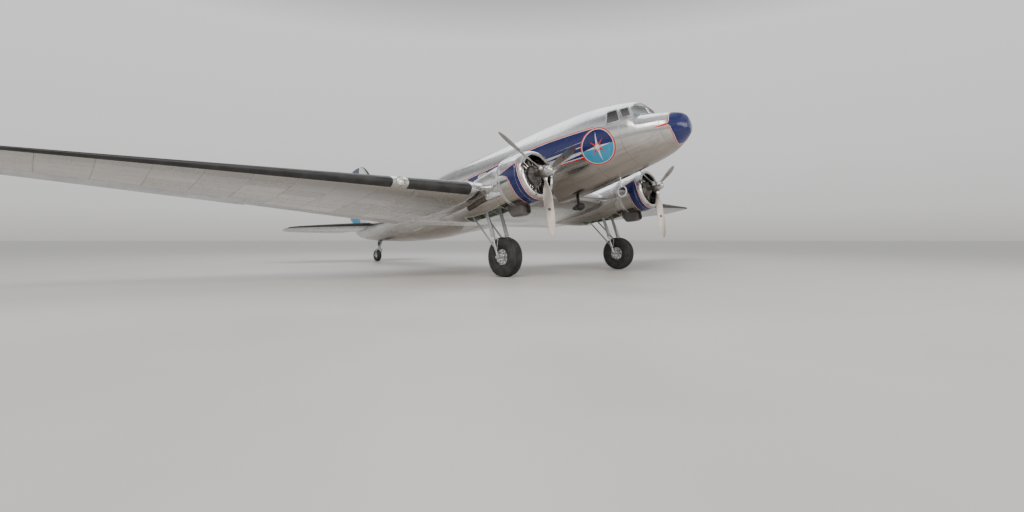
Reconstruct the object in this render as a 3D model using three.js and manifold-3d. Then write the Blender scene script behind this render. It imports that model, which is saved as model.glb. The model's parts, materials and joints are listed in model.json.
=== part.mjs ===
// Twin-engined propeller airliner of polished metal, standing on its tail-wheel landing gear.
// Millimetres. The airframe is drawn in its own level frame: x to port, y aft from the nose, z up
// from the middle of the cabin. The whole is then tipped back so that all three wheels meet the floor.
import * as THREE from "three";
import { mergeVertices } from "three/addons/utils/BufferGeometryUtils.js";
import Module from "manifold-3d";

const wasm = await Module();
wasm.setup();

// Gaps
const SEAT_GAP = 0.4; // between fixed pieces that touch
const RUN_GAP = 8; // round a moving surface
const PIN_GAP = 0.4; // round an axle or a shaft
const END_GAP = 0.3; // between a hinge pin's end and its seat
const SETBACK = 12; // the fixed surface stops this far ahead of its hinge

// Fuselage
const NOSE_SEAM = 430; // y of the joint behind the nose cone
const FUSELAGE_SIDES = 24;
// y, half width, top, bottom, height of the widest point
const FUSELAGE = [
  [0, 120, -60, -320, -190],
  [60, 300, 95, -420, -185],
  [220, 490, 200, -552, -175],
  [430, 660, 266, -670, -160],
  [700, 810, 335, -788, -140],
  [960, 905, 410, -850, -120],
  [1050, 935, 450, -868, -112],
  [1160, 965, 735, -885, -105],
  [1290, 1000, 880, -905, -95],
  [1690, 1060, 1010, -960, -75],
  [2170, 1110, 1110, -1030, -55],
  [2680, 1150, 1190, -1095, -40],
  [3580, 1205, 1262, -1190, -15],
  [5000, 1240, 1290, -1270, 0],
  [9800, 1240, 1298, -1285, 0],
  [10910, 1222, 1265, -1250, 5],
  [12110, 1160, 1238, -1150, 40],
  [13570, 1010, 1182, -960, 110],
  [15500, 700, 1070, -620, 230],
  [17000, 430, 925, -325, 320],
  [18000, 245, 770, -50, 380],
  [18700, 110, 600, 250, 430],
  [18900, 40, 490, 410, 450],
];

// Cockpit panes on the port side: corners x, y, z in turn
const PANE_DEPTH = 40;
const PANE_PROUD = 12;
const PANES = [
  ["windshield", [[32, 1068, 455], [764, 1170, 366], [652, 1260, 622], [32, 1150, 690]]],
  ["sliding_window", [[822, 1196, 335], [922, 1412, 322], [812, 1530, 640], [706, 1302, 634]]],
  ["side_window", [[952, 1482, 262], [1052, 1868, 272], [915, 1882, 652], [838, 1592, 642]]],
];

// Passenger door, on the starboard side behind the cabin windows
const DOOR = { front: 11420, rear: 12280, sill: -780, head: 720, thick: 55, hallEnd: -50 };
const DOOR_HINGE = { out: 16, ahead: 12, radius: 11, half: 45, heights: [-330, 300] };

// Wing
const WING_LEAD = { y: 4490, z: -1070 }; // leading edge of the centre section
const WING_CHORD = 4318;
const WING_INCIDENCE = THREE.MathUtils.degToRad(2);
const WING_CAMBER = 0.02;
const WING_THICK = 0.155;
const CENTRE_HALF_SPAN = 3770;
const JOINT_BAND = { width: 60, proud: 9 };
const SWEEP = 0.2773; // leading edge of the outer wing, aft for each mm outward
const DIHEDRAL = 0.083; // rise for each mm outward
// x, chord against the straight taper, thickness against the chord, aft shift of the rounded tip
const OUTER_WING = [
  [3830, 1, 0.155, 0],
  [8600, 1, 0.125, 0],
  [13200, 1, 0.085, 0],
  [13900, 0.9, 0.08, 60],
  [14260, 0.7, 0.075, 170],
  [14430, 0.42, 0.07, 330],
  [14478, 0.16, 0.06, 490],
];
const WING_TRAIL = WING_LEAD.y + WING_CHORD;

// Split flaps under the trailing edge: name, first x, last x
const FLAP_CHORD = 640;
const FLAP_THICK = 26;
const FLAP_PIN = 6; // radius of the hinge pin in its front edge
const FLAPS = [
  ["centre_flap", 1330, 3740],
  ["outer_flap", 3870, 8480],
];
const LAMP = { x: 5840, radius: 120, proud: 12, depth: 130 }; // landing light in the leading edge
const AILERON = { from: 8620, to: 13560, chordIn: 650, chordOut: 430 };

// Engines and nacelles, on the port side
const ENGINE = { x: 2820, z: -1000, hubY: 2830, frontY: 3160, fireY: 3985 };
const CYLINDERS = 9;
const PROPELLER_RADIUS = 1752.6;
const BLADES = 3;
const HUB_BACK = 146; // rear face of the hub behind the blades
// y, half width, top, bottom
const NACELLE = [
  [3985, 600, -400, -1600],
  [4250, 640, -395, -1670],
  [4800, 640, -455, -1745],
  [5400, 600, -525, -1765],
  [6000, 525, -600, -1710],
  [6600, 430, -680, -1600],
  [7200, 320, -775, -1440],
  [7800, 200, -920, -1290],
  [8250, 90, -1060, -1200],
];
const WHEEL_WELL = { half: 350, front: 4330, rear: 5950, roof: -1250 };
// y, radius: outside from the lip back, then inside forward again
const COWLING = [
  [3050, 560],
  [3062, 605],
  [3110, 650],
  [3230, 693],
  [3420, 713],
  [3700, 717],
  [4000, 706],
  [4000, 694],
  [3700, 703],
  [3420, 699],
  [3240, 676],
  [3130, 560],
  [3085, 534],
];

// Landing gear
const MAIN_AXLE = { y: 4750, z: -2990 };
const MAIN_TYRE = { radius: 571.5, half: 215, rim: 235 };
const TAIL_AXLE = { y: 16950, z: -1080 };
const TAIL_TYRE = { radius: 280, half: 105, rim: 120 };
const TAIL_TRAIL = 200; // axle behind the swivel
const TAIL_CROWN = 655; // top of the fork above the floor

// Tail
// z, leading edge y, full chord thickness
const FIN = [
  [760, 15300, 0.085],
  [1180, 15420, 0.085],
  [1380, 15740, 0.09],
  [1900, 16200, 0.09],
  [2700, 16720, 0.09],
  [3300, 17160, 0.09],
  [3600, 17490, 0.085],
  [3740, 17740, 0.08],
];
const RUDDER_HINGE = { low: [0, 18210, 700], high: [0, 17930, 3740] };
// height above the low end of the hinge, nose radius, chord
const RUDDER = [
  [110, 80, 640],
  [260, 84, 1080],
  [480, 84, 1280],
  [900, 82, 1370],
  [1900, 70, 1340],
  [2550, 56, 1230],
  [2860, 44, 1000],
  [3010, 32, 700],
  [3052, 24, 380],
];
const TAIL_PIN = 22; // radius of the hinge pins of rudder and elevators
const TAILPLANE_Z = 420;
// x, leading edge y, full chord thickness
const TAILPLANE = [
  [60, 16350, 0.11],
  [700, 16500, 0.11],
  [3200, 17290, 0.1],
  [3700, 17500, 0.095],
  [3960, 17720, 0.09],
  [4040, 17880, 0.08],
];
const ELEVATOR_Y = 18080; // hinge line
// x, nose radius, chord
const ELEVATOR = [
  [350, 92, 130],
  [960, 88, 860],
  [3300, 55, 720],
  [3780, 42, 560],
  [3990, 30, 330],
  [4050, 24, 130],
];

const COLOURS = {
  skin: ["#b9bec4", 0.28, 0.95],
  blue: ["#1d2c5e", 0.35, 0.1],
  sky: ["#6f9ccf", 0.4, 0.1],
  glass: ["#1b2326", 0.08, 0.1],
  steel: ["#74787c", 0.45, 0.8],
  dark: ["#26282b", 0.6, 0.4],
  blade: ["#8d9196", 0.3, 0.9],
  rubber: ["#1c1c1d", 0.85, 0],
  grey: ["#9aa0a6", 0.5, 0.3],
  lamp: ["#e8d9a8", 0.1, 0.1],
};

// Geometry helpers

const vec = (x, y, z) => new THREE.Vector3(x, y, z);

function paint(name) {
  const [color, roughness, metalness] = COLOURS[name];
  return new THREE.MeshStandardMaterial({ color, roughness, metalness });
}

// A closed geometry as a solid, turned right side out.
function solid(geometry) {
  const plain = geometry.clone();
  plain.deleteAttribute("normal");
  plain.deleteAttribute("uv");
  const merged = mergeVertices(plain, 1e-3);
  const vertProperties = new Float32Array(merged.attributes.position.array);
  const triVerts = new Uint32Array(merged.index.array);
  const make = () => new wasm.Manifold(new wasm.Mesh({ numProp: 3, vertProperties, triVerts }));
  const made = make();
  if (made.volume() >= 0) return made;
  for (let i = 0; i < triVerts.length; i += 3) {
    [triVerts[i + 1], triVerts[i + 2]] = [triVerts[i + 2], triVerts[i + 1]];
  }
  return make();
}

// A solid back as a flat-shaded geometry. Slivers that a cut leaves loose are dropped.
function geometryOf(body) {
  const largest = body.decompose().reduce((a, b) => (a.volume() > b.volume() ? a : b));
  const mesh = largest.getMesh();
  const geometry = new THREE.BufferGeometry();
  const places = new Float32Array(mesh.numVert * 3);
  for (let i = 0; i < mesh.numVert; i++) {
    const at = i * mesh.numProp;
    places.set(mesh.vertProperties.subarray(at, at + 3), i * 3);
  }
  geometry.setAttribute("position", new THREE.BufferAttribute(places, 3));
  geometry.setIndex(new THREE.BufferAttribute(mesh.triVerts, 1));
  const flat = geometry.toNonIndexed();
  flat.computeVertexNormals();
  return flat;
}

function join(bodies) {
  return bodies.reduce((a, b) => a.add(b));
}

function cut(body, ...cutters) {
  return cutters.reduce((a, b) => a.subtract(b), body);
}

// A skin through rings of equal count, closed at both ends. flat gives each ring point in 2D.
// The facets are split alike on both sides of the centre line.
function loft(rings, flat) {
  const count = rings[0].length;
  const places = rings.flat().flatMap((p) => [p.x, p.y, p.z]);
  const faces = [];
  for (let r = 0; r + 1 < rings.length; r++) {
    for (let i = 0; i < count; i++) {
      const a = r * count + i;
      const b = r * count + ((i + 1) % count);
      const starboard = rings[r][i].x + rings[r][(i + 1) % count].x < 0;
      if (starboard) faces.push(a, b, b + count, a, b + count, a + count);
      else faces.push(a, b, a + count, b, b + count, a + count);
    }
  }
  const last = (rings.length - 1) * count;
  for (const [start, turn] of [[0, true], [last, false]]) {
    const outline = rings[start / count].map(flat);
    for (const [a, b, c] of THREE.ShapeUtils.triangulateShape(outline, [])) {
      const clockwise = THREE.ShapeUtils.isClockWise(outline);
      const face = turn === clockwise ? [a, b, c] : [a, c, b];
      faces.push(...face.map((i) => start + i));
    }
  }
  const geometry = new THREE.BufferGeometry();
  geometry.setAttribute("position", new THREE.Float32BufferAttribute(places, 3));
  geometry.setIndex(faces);
  return solid(geometry);
}

// An outline moved outward by a distance, corner by corner.
function grown(points, distance) {
  if (!distance) return points;
  const turn = THREE.ShapeUtils.isClockWise(points) ? -1 : 1;
  return points.map((p, i) => {
    const before = points[(i + points.length - 1) % points.length];
    const after = points[(i + 1) % points.length];
    const u = p.clone().sub(before).normalize();
    const v = after.clone().sub(p).normalize();
    const out = new THREE.Vector2(u.y + v.y, -u.x - v.x).normalize();
    const spread = Math.max(0.5, Math.sqrt((1 + u.dot(v)) / 2));
    return p.clone().addScaledVector(out, (turn * distance) / spread);
  });
}

function box(x0, x1, y0, y1, z0, z1) {
  const geometry = new THREE.BoxGeometry(x1 - x0, y1 - y0, z1 - z0);
  geometry.translate((x0 + x1) / 2, (y0 + y1) / 2, (z0 + z1) / 2);
  return solid(geometry);
}

// A round rod from one point to another.
function rod(from, to, radius, sides = 8, endRadius = radius) {
  const along = to.clone().sub(from);
  const geometry = new THREE.CylinderGeometry(endRadius, radius, along.length(), sides);
  geometry.translate(0, along.length() / 2, 0);
  geometry.applyQuaternion(new THREE.Quaternion().setFromUnitVectors(vec(0, 1, 0), along.normalize()));
  geometry.translate(from.x, from.y, from.z);
  return solid(geometry);
}

function ball(at, radius) {
  const geometry = new THREE.SphereGeometry(radius, 8, 6);
  geometry.translate(at.x, at.y, at.z);
  return solid(geometry);
}

// A body turned about the x axis, from a profile of x, radius.
function turnedAcross(profile, sides) {
  const geometry = new THREE.LatheGeometry(profile.map(([x, r]) => new THREE.Vector2(r, x)), sides);
  geometry.rotateZ(-Math.PI / 2);
  geometry.rotateX(Math.PI / sides);
  return solid(geometry);
}

// An aerofoil outline from the trailing edge over the top, cut off at a part of its chord.
function aerofoil(chord, thick, camber, until = 1, steps = 10) {
  const top = [];
  const low = [];
  for (let i = 0; i <= steps; i++) {
    const s = until * (1 - Math.cos((Math.PI * i) / (2 * steps)));
    const half =
      5 * thick * (0.2969 * Math.sqrt(s) - 0.126 * s - 0.3516 * s ** 2 + 0.2843 * s ** 3 - 0.1015 * s ** 4);
    const mid = s < 0.4 ? (camber / 0.16) * (0.8 * s - s * s) : (camber / 0.36) * (0.2 + 0.8 * s - s * s);
    const blunt = Math.max(half, s > 0.5 ? 4 / chord : 0);
    top.push(new THREE.Vector2(s * chord, (mid + blunt) * chord));
    low.push(new THREE.Vector2(s * chord, (mid - blunt) * chord));
  }
  return [...top.reverse(), ...low.slice(1)];
}

// Fuselage

function fuselageRing([y, half, top, bottom, waist], grow) {
  const points = [];
  for (let i = 0; i < FUSELAGE_SIDES; i++) {
    const turn = (2 * Math.PI * i) / FUSELAGE_SIDES;
    const up = Math.sin(turn);
    points.push(new THREE.Vector2(half * Math.cos(turn), waist + up * (up > 0 ? top - waist : waist - bottom)));
  }
  return grown(points, grow).map((p) => vec(p.x, y, p.y));
}

function fuselageLoft(stations, grow = 0) {
  return loft(
    stations.map((station) => fuselageRing(station, grow)),
    (p) => new THREE.Vector2(p.x, p.z),
  );
}

// A flat pane as a prism that runs from a little outside the skin to inside it.
function panePrism(corners, grow = 0) {
  const [a, b, , d] = corners.map((c) => vec(...c));
  const along = b.clone().sub(a).normalize();
  const out = along.clone().cross(d.clone().sub(a)).normalize();
  const up = out.clone().cross(along);
  const flat = corners.map((c) => {
    const from = vec(...c).sub(a);
    return new THREE.Vector2(from.dot(along), from.dot(up));
  });
  const level = (height) =>
    grown(flat, grow).map((p) =>
      a.clone().addScaledVector(along, p.x).addScaledVector(up, p.y).addScaledVector(out, height),
    );
  const local = (p) => new THREE.Vector2(p.clone().sub(a).dot(along), p.clone().sub(a).dot(up));
  return loft([level(-PANE_DEPTH - grow), level(PANE_PROUD + grow)], local);
}

// The upright hinge line of the door, just outside the skin at its front edge.
function doorAxis() {
  const y = DOOR.front - DOOR_HINGE.ahead;
  const next = FUSELAGE.findIndex((row) => row[0] > y);
  const [a, b] = [FUSELAGE[next - 1], FUSELAGE[next]];
  const half = a[1] + ((b[1] - a[1]) * (y - a[0])) / (b[0] - a[0]);
  return { x: -half - DOOR_HINGE.out, y };
}

// Brackets on the fuselage that hold each door knuckle from above and below.
function doorBrackets() {
  const { x, y } = doorAxis();
  const { radius, half, heights } = DOOR_HINGE;
  const tall = 20;
  return heights.flatMap((z) =>
    [z - half - END_GAP - tall, z + half + END_GAP].map((low) =>
      box(x - radius, x + 70, y - 40, y + radius * 0.5, low, low + tall),
    ),
  );
}

// A block through the doorway, from outside the skin to the end of the hall.
function doorSlab(gap, inside) {
  return box(-inside, DOOR.hallEnd, DOOR.front - gap, DOOR.rear + gap, DOOR.sill - gap, DOOR.head + gap);
}

// Wing

// A wing section at x, grown outward by a distance.
function wingRing(x, leadY, leadZ, chord, thick, grow) {
  const cos = Math.cos(WING_INCIDENCE);
  const sin = Math.sin(WING_INCIDENCE);
  return grown(aerofoil(chord, thick, WING_CAMBER), grow).map((p) =>
    vec(x, leadY + p.x * cos + p.y * sin, leadZ - p.x * sin + p.y * cos),
  );
}

const sideView = (p) => new THREE.Vector2(p.y, p.z);

function centreWing(grow = 0) {
  const ring = (x) => wingRing(x, WING_LEAD.y, WING_LEAD.z, WING_CHORD, WING_THICK, grow);
  return loft([ring(-CENTRE_HALF_SPAN), ring(CENTRE_HALF_SPAN)], sideView);
}

function jointBand() {
  const from = CENTRE_HALF_SPAN + SEAT_GAP;
  const ring = (x) => wingRing(x, WING_LEAD.y, WING_LEAD.z, WING_CHORD, WING_THICK, JOINT_BAND.proud);
  return loft([ring(from), ring(from + JOINT_BAND.width - 2 * SEAT_GAP)], sideView);
}

function outerWingPlace(x) {
  const out = x - OUTER_WING[0][0];
  return { y: WING_LEAD.y + out * SWEEP, z: WING_LEAD.z + out * DIHEDRAL };
}

function outerWing() {
  const rings = OUTER_WING.map(([x, share, thick, shift]) => {
    const lead = outerWingPlace(x);
    const chord = (WING_TRAIL - lead.y) * share - (share < 1 ? shift * 0.4 : 0);
    return wingRing(x, lead.y + shift, lead.z, chord, thick, 0);
  });
  return loft(rings, sideView);
}

// Moving surfaces. Each is drawn along its hinge: x along the hinge, y aft, z up.

// The frame of a hinge that runs from one point to another.
function hingeFrame(from, to, aft = vec(0, 1, 0)) {
  const x = to.clone().sub(from).normalize();
  const z = x.clone().cross(aft).normalize();
  const y = z.clone().cross(x);
  return new THREE.Matrix4().makeBasis(x, y, z).setPosition(from);
}

function moved(body, matrix) {
  return body.transform(matrix.elements);
}

// A surface with a round nose and a pin at each end, from rows of: place on the hinge, nose radius,
// chord.
function surface(rows, pinRadius) {
  const rings = rows.map(([at, radius, chord]) => {
    const points = [];
    for (let i = 0; i <= 6; i++) {
      const turn = Math.PI / 2 + (Math.PI * i) / 6;
      points.push(vec(at, radius * Math.cos(turn), radius * Math.sin(turn)));
    }
    return [...points, vec(at, chord, -4), vec(at, chord, 4)];
  });
  const reach = RUN_GAP - END_GAP;
  const [first, last] = [rows[0][0], rows[rows.length - 1][0]];
  const pins = rod(vec(first - reach, 0, 0), vec(first + 30, 0, 0), pinRadius);
  return join([loft(rings, sideView), pins, rod(vec(last - 30, 0, 0), vec(last + reach, 0, 0), pinRadius)]);
}

// The hollow that a surface turns in, from the same rows.
function cove(rows, reach) {
  const rings = rows.map(([place, nose], k) => {
    const at = place + RUN_GAP * (k === 0 ? -1 : k === rows.length - 1 ? 1 : 0);
    const radius = nose + RUN_GAP;
    const points = [];
    for (let i = 0; i <= 6; i++) {
      const turn = Math.PI / 2 + (Math.PI * i) / 6;
      points.push(vec(at, radius * Math.cos(turn), radius * Math.sin(turn)));
    }
    return [...points, vec(at, reach, -radius * 1.5), vec(at, reach, radius * 1.5)];
  });
  return loft(rings, sideView);
}

// A point on the outer wing's mean line or underside, ahead of the trailing edge.
function wingPoint(x, ahead, onUnderside) {
  const outer = x > CENTRE_HALF_SPAN;
  const lead = outer ? outerWingPlace(x) : WING_LEAD;
  const [a, b] = [OUTER_WING[0], OUTER_WING[2]];
  const thick = outer ? a[2] + ((b[2] - a[2]) * (x - a[0])) / (b[0] - a[0]) : WING_THICK;
  const chord = WING_TRAIL - lead.y;
  const ring = wingRing(x, lead.y, lead.z, chord, thick, 0);
  const y = WING_TRAIL - ahead;
  const heights = [ring.slice(0, 11), ring.slice(10)].map((half) => {
    const i = half.findIndex((p, k) => k + 1 < half.length && (p.y - y) * (half[k + 1].y - y) <= 0);
    const [p, q] = [half[i], half[i + 1]];
    return p.z + ((q.z - p.z) * (y - p.y)) / (q.y - p.y);
  });
  const [top, low] = heights;
  return { point: vec(x, y, onUnderside ? low : (top + low) / 2), half: (top - low) / 2 };
}

function aileronParts() {
  const from = wingPoint(AILERON.from, AILERON.chordIn);
  const to = wingPoint(AILERON.to, AILERON.chordOut);
  const edge = wingPoint(AILERON.from, 5).point;
  const frame = hingeFrame(from.point, to.point, edge.sub(from.point));
  const length = to.point.distanceTo(from.point);
  const rows = [
    [0, from.half - 3, AILERON.chordIn],
    [length, to.half - 3, AILERON.chordOut],
  ];
  return { frame, body: surface(rows, 14), hollow: moved(cove(rows, AILERON.chordIn + 200), frame) };
}

function flapParts(fromX, toX) {
  const from = wingPoint(fromX, FLAP_CHORD, true).point;
  const to = wingPoint(toX, FLAP_CHORD, true).point;
  const frame = hingeFrame(from, to, wingPoint(fromX, 5, true).point.sub(from));
  frame.multiply(new THREE.Matrix4().makeTranslation(0, 0, FLAP_PIN));
  const length = to.distanceTo(from);
  const slab = (gap, low) => {
    const ring = (at) => [
      vec(at, -gap, low),
      vec(at, FLAP_CHORD + gap * 6, low),
      vec(at, FLAP_CHORD + gap * 6, 3 + gap),
      vec(at, -gap, FLAP_THICK - FLAP_PIN + gap),
    ];
    return loft([ring(-gap), ring(length + gap)], sideView);
  };
  const reach = RUN_GAP - END_GAP;
  const pins = rod(vec(-reach, 0, 0), vec(length + reach, 0, 0), FLAP_PIN);
  return { frame, body: join([slab(0, -FLAP_PIN), pins]), hollow: moved(slab(RUN_GAP, -120), frame) };
}

// Nacelle, cowling and engine, about x = ENGINE.x

function nacelleLoft(grow = 0) {
  const rings = NACELLE.map(([y, half, top, bottom]) => {
    const points = [];
    for (let i = 0; i < 24; i++) {
      const turn = (Math.PI * i) / 12;
      const middle = (top + bottom) / 2;
      points.push(new THREE.Vector2(half * Math.cos(turn), middle + ((top - bottom) / 2) * Math.sin(turn)));
    }
    return grown(points, grow).map((p) => vec(ENGINE.x + p.x, y, p.y));
  });
  return loft(rings, (p) => new THREE.Vector2(p.x, p.z));
}

function nacelle() {
  const { half, front, rear, roof } = WHEEL_WELL;
  const well = box(ENGINE.x - half, ENGINE.x + half, front, rear, -2000, roof);
  return cut(nacelleLoft(), centreWing(SEAT_GAP), well);
}

// A body turned about the thrust line, from a profile of y, radius.
function turnedAft(profile, sides) {
  const geometry = new THREE.LatheGeometry(profile.map(([y, r]) => new THREE.Vector2(r, y)), sides);
  geometry.translate(ENGINE.x, 0, ENGINE.z);
  return solid(geometry);
}

function cowling(grow = 0) {
  const outline = grown(COWLING.map(([y, r]) => new THREE.Vector2(y, r)), grow).map((p) => [p.x, p.y]);
  return turnedAft([...outline, outline[0]], 27);
}

// One finned cylinder with its head, standing up from the crankcase.
function engineCylinder(y) {
  const profile = [
    [300, 0],
    [300, 88],
    [436, 88],
    [450, 112],
    [575, 108],
    [640, 72],
    [640, 0],
  ];
  const geometry = new THREE.LatheGeometry(profile.map(([h, r]) => new THREE.Vector2(r, h)), 8);
  geometry.rotateX(Math.PI / 2);
  geometry.translate(0, y, 0);
  return solid(geometry);
}

function engine() {
  const y = ENGINE.frontY + 250;
  const parts = [
    turnedAft(
      [
        [ENGINE.hubY + HUB_BACK + END_GAP, 0],
        [ENGINE.hubY + HUB_BACK + END_GAP, 62],
        [ENGINE.frontY - 80, 70],
        [ENGINE.frontY - 60, 150],
        [ENGINE.frontY + 20, 215],
        [ENGINE.frontY + 110, 330],
        [ENGINE.frontY + 420, 330],
        [ENGINE.frontY + 470, 420],
        [ENGINE.fireY - SEAT_GAP, 420],
        [ENGINE.fireY - SEAT_GAP, 0],
      ],
      14,
    ),
  ];
  for (let i = 0; i < CYLINDERS; i++) {
    const turn = (2 * Math.PI * i) / CYLINDERS;
    const place = new THREE.Matrix4().makeRotationY(turn);
    place.premultiply(new THREE.Matrix4().makeTranslation(ENGINE.x, 0, ENGINE.z));
    parts.push(moved(engineCylinder(y), place));
    const bracket = rod(vec(0, y + 90, 560), vec(0, y + 90, 760), 22, 6);
    parts.push(moved(bracket, place));
  }
  const inside = turnedAft([[2900, 0], [2900, 709], [4000, 709], [4000, 0]], 27);
  return cut(join(parts).intersect(inside), cowling(SEAT_GAP));
}

function scoop() {
  const body = loft(
    [
      [3560, 105, -330, -235],
      [3620, 120, -400, -205],
      [3950, 120, -420, -215],
      [4420, 60, -470, -330],
    ].map(([y, half, low, high]) => boxRing(ENGINE.x, y, half, low, high, 45)),
    (p) => new THREE.Vector2(p.x, p.z),
  );
  const mouth = box(ENGINE.x - 85, ENGINE.x + 85, 3500, 3800, -300, -238);
  return cut(body, mouth, cowling(SEAT_GAP), nacelleLoft(SEAT_GAP));
}

// A rounded-corner rectangle at y, for small fairings.
function boxRing(x, y, half, low, high, round) {
  const points = [];
  const corners = [
    [half - round, high - round, 0],
    [round - half, high - round, 1],
    [round - half, low + round, 2],
    [half - round, low + round, 3],
  ];
  for (const [cx, cz, quarter] of corners) {
    for (const step of [0, 0.5, 1]) {
      const turn = ((quarter + step) * Math.PI) / 2;
      points.push(vec(x + cx + round * Math.cos(turn), y, cz + round * Math.sin(turn)));
    }
  }
  return points;
}

function oilCooler() {
  const flat = (p) => new THREE.Vector2(p.x, p.z);
  const rows = [
    [3640, 150, -1955, -1690],
    [3760, 170, -1985, -1640],
    [4100, 165, -1965, -1560],
    [4290, 90, -1800, -1560],
  ];
  const body = loft(rows.map(([y, half, low, high]) => boxRing(ENGINE.x, y, half, low, high, 80)), flat);
  const inner = [
    [3600, 128, -1933, -1712],
    [3980, 128, -1933, -1712],
  ];
  const mouth = loft(inner.map(([y, half, low, high]) => boxRing(ENGINE.x, y, half, low, high, 70)), flat);
  return cut(body, mouth, cowling(SEAT_GAP), nacelleLoft(SEAT_GAP));
}

function exhaust() {
  const path = [vec(3380, 3990, -1330), vec(3500, 4240, -1345), vec(3560, 4600, -1400), vec(3570, 5200, -1500)];
  const parts = [
    rod(path[0], path[1], 70, 10, 92),
    rod(path[1], path[2], 92, 10, 88),
    rod(path[2], path[3], 84, 10, 80),
    ball(path[1], 90),
  ];
  const bore = rod(vec(3569, 5000, -1466), vec(3570, 5260, -1510), 66, 10);
  return cut(join(parts), bore, centreWing(SEAT_GAP), nacelleLoft(SEAT_GAP), cowling(SEAT_GAP));
}

// Propeller, drawn about its own hub

function bladeSolid() {
  // radius, chord, thickness, pitch in degrees
  const rows = [
    [130, 96, 96, 60],
    [300, 110, 90, 52],
    [480, 200, 50, 44],
    [800, 262, 34, 34],
    [1200, 262, 24, 26],
    [1500, 215, 17, 21],
    [1680, 130, 12, 19],
    [PROPELLER_RADIUS, 36, 8, 18],
  ];
  const rings = rows.map(([radius, chord, thick, pitch]) => {
    const turn = THREE.MathUtils.degToRad(pitch);
    const points = [];
    for (let i = 0; i < 8; i++) {
      const a = (2 * Math.PI * i) / 8;
      const u = (chord / 2) * Math.cos(a);
      const v = (thick / 2) * Math.sin(a);
      points.push(vec(u * Math.cos(turn) - v * Math.sin(turn), u * Math.sin(turn) + v * Math.cos(turn), radius));
    }
    return points;
  });
  return loft(rings, (p) => new THREE.Vector2(p.x, p.y));
}

function propeller() {
  const profile = [
    [-290, 0],
    [-282, 55],
    [-250, 92],
    [-200, 112],
    [-120, 118],
    [-110, 150],
    [-60, 175],
    [60, 175],
    [90, 120],
    [HUB_BACK, 100],
    [HUB_BACK, 0],
  ];
  const hub = solid(new THREE.LatheGeometry(profile.map(([y, r]) => new THREE.Vector2(r, y)), 12));
  const blades = [];
  for (let i = 0; i < BLADES; i++) {
    const turn = Math.PI + (2 * Math.PI * i) / BLADES;
    blades.push(moved(bladeSolid(), new THREE.Matrix4().makeRotationY(turn)));
  }
  return join([hub, ...blades]);
}

// Wheels, drawn about their own axle

const MAIN_BORE = 46;
const TAIL_BORE = 24;
const MAIN_SIDES = 20;
const TAIL_SIDES = 16;

// A tyre with a flat facet under it, so that the tread circle is kept between the corners.
function tyre({ radius, half, rim }, sides) {
  const profile = [
    [-half * 0.55, rim + SEAT_GAP],
    [-half * 0.86, rim + (radius - rim) * 0.18],
    [-half, rim + (radius - rim) * 0.48],
    [-half * 0.86, rim + (radius - rim) * 0.8],
    [-half * 0.5, radius * 0.985],
    [-half * 0.2, radius],
    [half * 0.2, radius],
    [half * 0.5, radius * 0.985],
    [half * 0.86, rim + (radius - rim) * 0.8],
    [half, rim + (radius - rim) * 0.48],
    [half * 0.86, rim + (radius - rim) * 0.18],
    [half * 0.55, rim + SEAT_GAP],
  ].map(([x, r]) => [x, r / Math.cos(Math.PI / sides)]);
  return turnedAcross([...profile, profile[0]], sides);
}

function wheel({ half, rim }, bore, sides) {
  const profile = [
    [-half * 0.62, bore],
    [-half * 0.62, bore + rim * 0.25],
    [-half * 0.3, rim * 0.5],
    [-half * 0.34, rim * 0.86],
    [-half * 0.55, rim],
    [half * 0.55, rim],
    [half * 0.34, rim * 0.86],
    [half * 0.3, rim * 0.5],
    [half * 0.62, bore + rim * 0.25],
    [half * 0.62, bore],
  ].map(([x, r]) => [x, r / Math.cos(Math.PI / sides)]);
  return turnedAcross([...profile, profile[0]], sides);
}

// The port main gear: two oil struts, two drag struts, their cross tubes and the axle.
function mainGear() {
  const x = ENGINE.x;
  const { half } = WHEEL_WELL;
  const reach = half - SEAT_GAP;
  const axle = vec(x, MAIN_AXLE.y, MAIN_AXLE.z);
  const head = { y: 5020, z: -1440 };
  const heel = { y: 5780, z: -1440 };
  const strutX = 272;
  const parts = [
    rod(vec(x - 345, axle.y, axle.z), vec(x + 345, axle.y, axle.z), MAIN_BORE - PIN_GAP, 10),
    rod(vec(x - reach, head.y, head.z), vec(x + reach, head.y, head.z), 58, 10),
    rod(vec(x - reach, heel.y, heel.z), vec(x + reach, heel.y, heel.z), 45, 8),
  ];
  for (const side of [-1, 1]) {
    const low = vec(x + side * strutX, axle.y, axle.z);
    const top = vec(x + side * strutX, head.y, head.z);
    const waist = low.clone().lerp(top, 0.42);
    const yoke = low.clone().lerp(top, 0.16);
    const back = vec(x + side * strutX, heel.y, heel.z);
    parts.push(rod(low, top, 33, 8), rod(waist, top, 50, 10), ball(low, 62));
    parts.push(rod(yoke, back, 27, 8));
  }
  return join(parts);
}

// Tail wheel unit, drawn upright about the swivel, with the floor at z = 0

function tailFork() {
  const { radius, half } = TAIL_TYRE;
  const crown = TAIL_CROWN - 30;
  const arm = half + 38;
  const parts = [
    rod(vec(0, 0, crown - 40), vec(0, 0, crown + 30), 58, 10),
    rod(vec(-arm, 30, crown - 30), vec(arm, 30, crown - 30), 36, 8),
    rod(vec(-arm - 45, TAIL_TRAIL, radius), vec(arm + 45, TAIL_TRAIL, radius), TAIL_BORE - PIN_GAP, 10),
  ];
  for (const side of [-1, 1]) {
    parts.push(rod(vec(side * arm, 30, crown - 30), vec(side * arm, TAIL_TRAIL, radius), 24, 10));
    parts.push(ball(vec(side * arm, TAIL_TRAIL, radius), 36));
  }
  return join(parts);
}

// Tail surfaces

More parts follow.
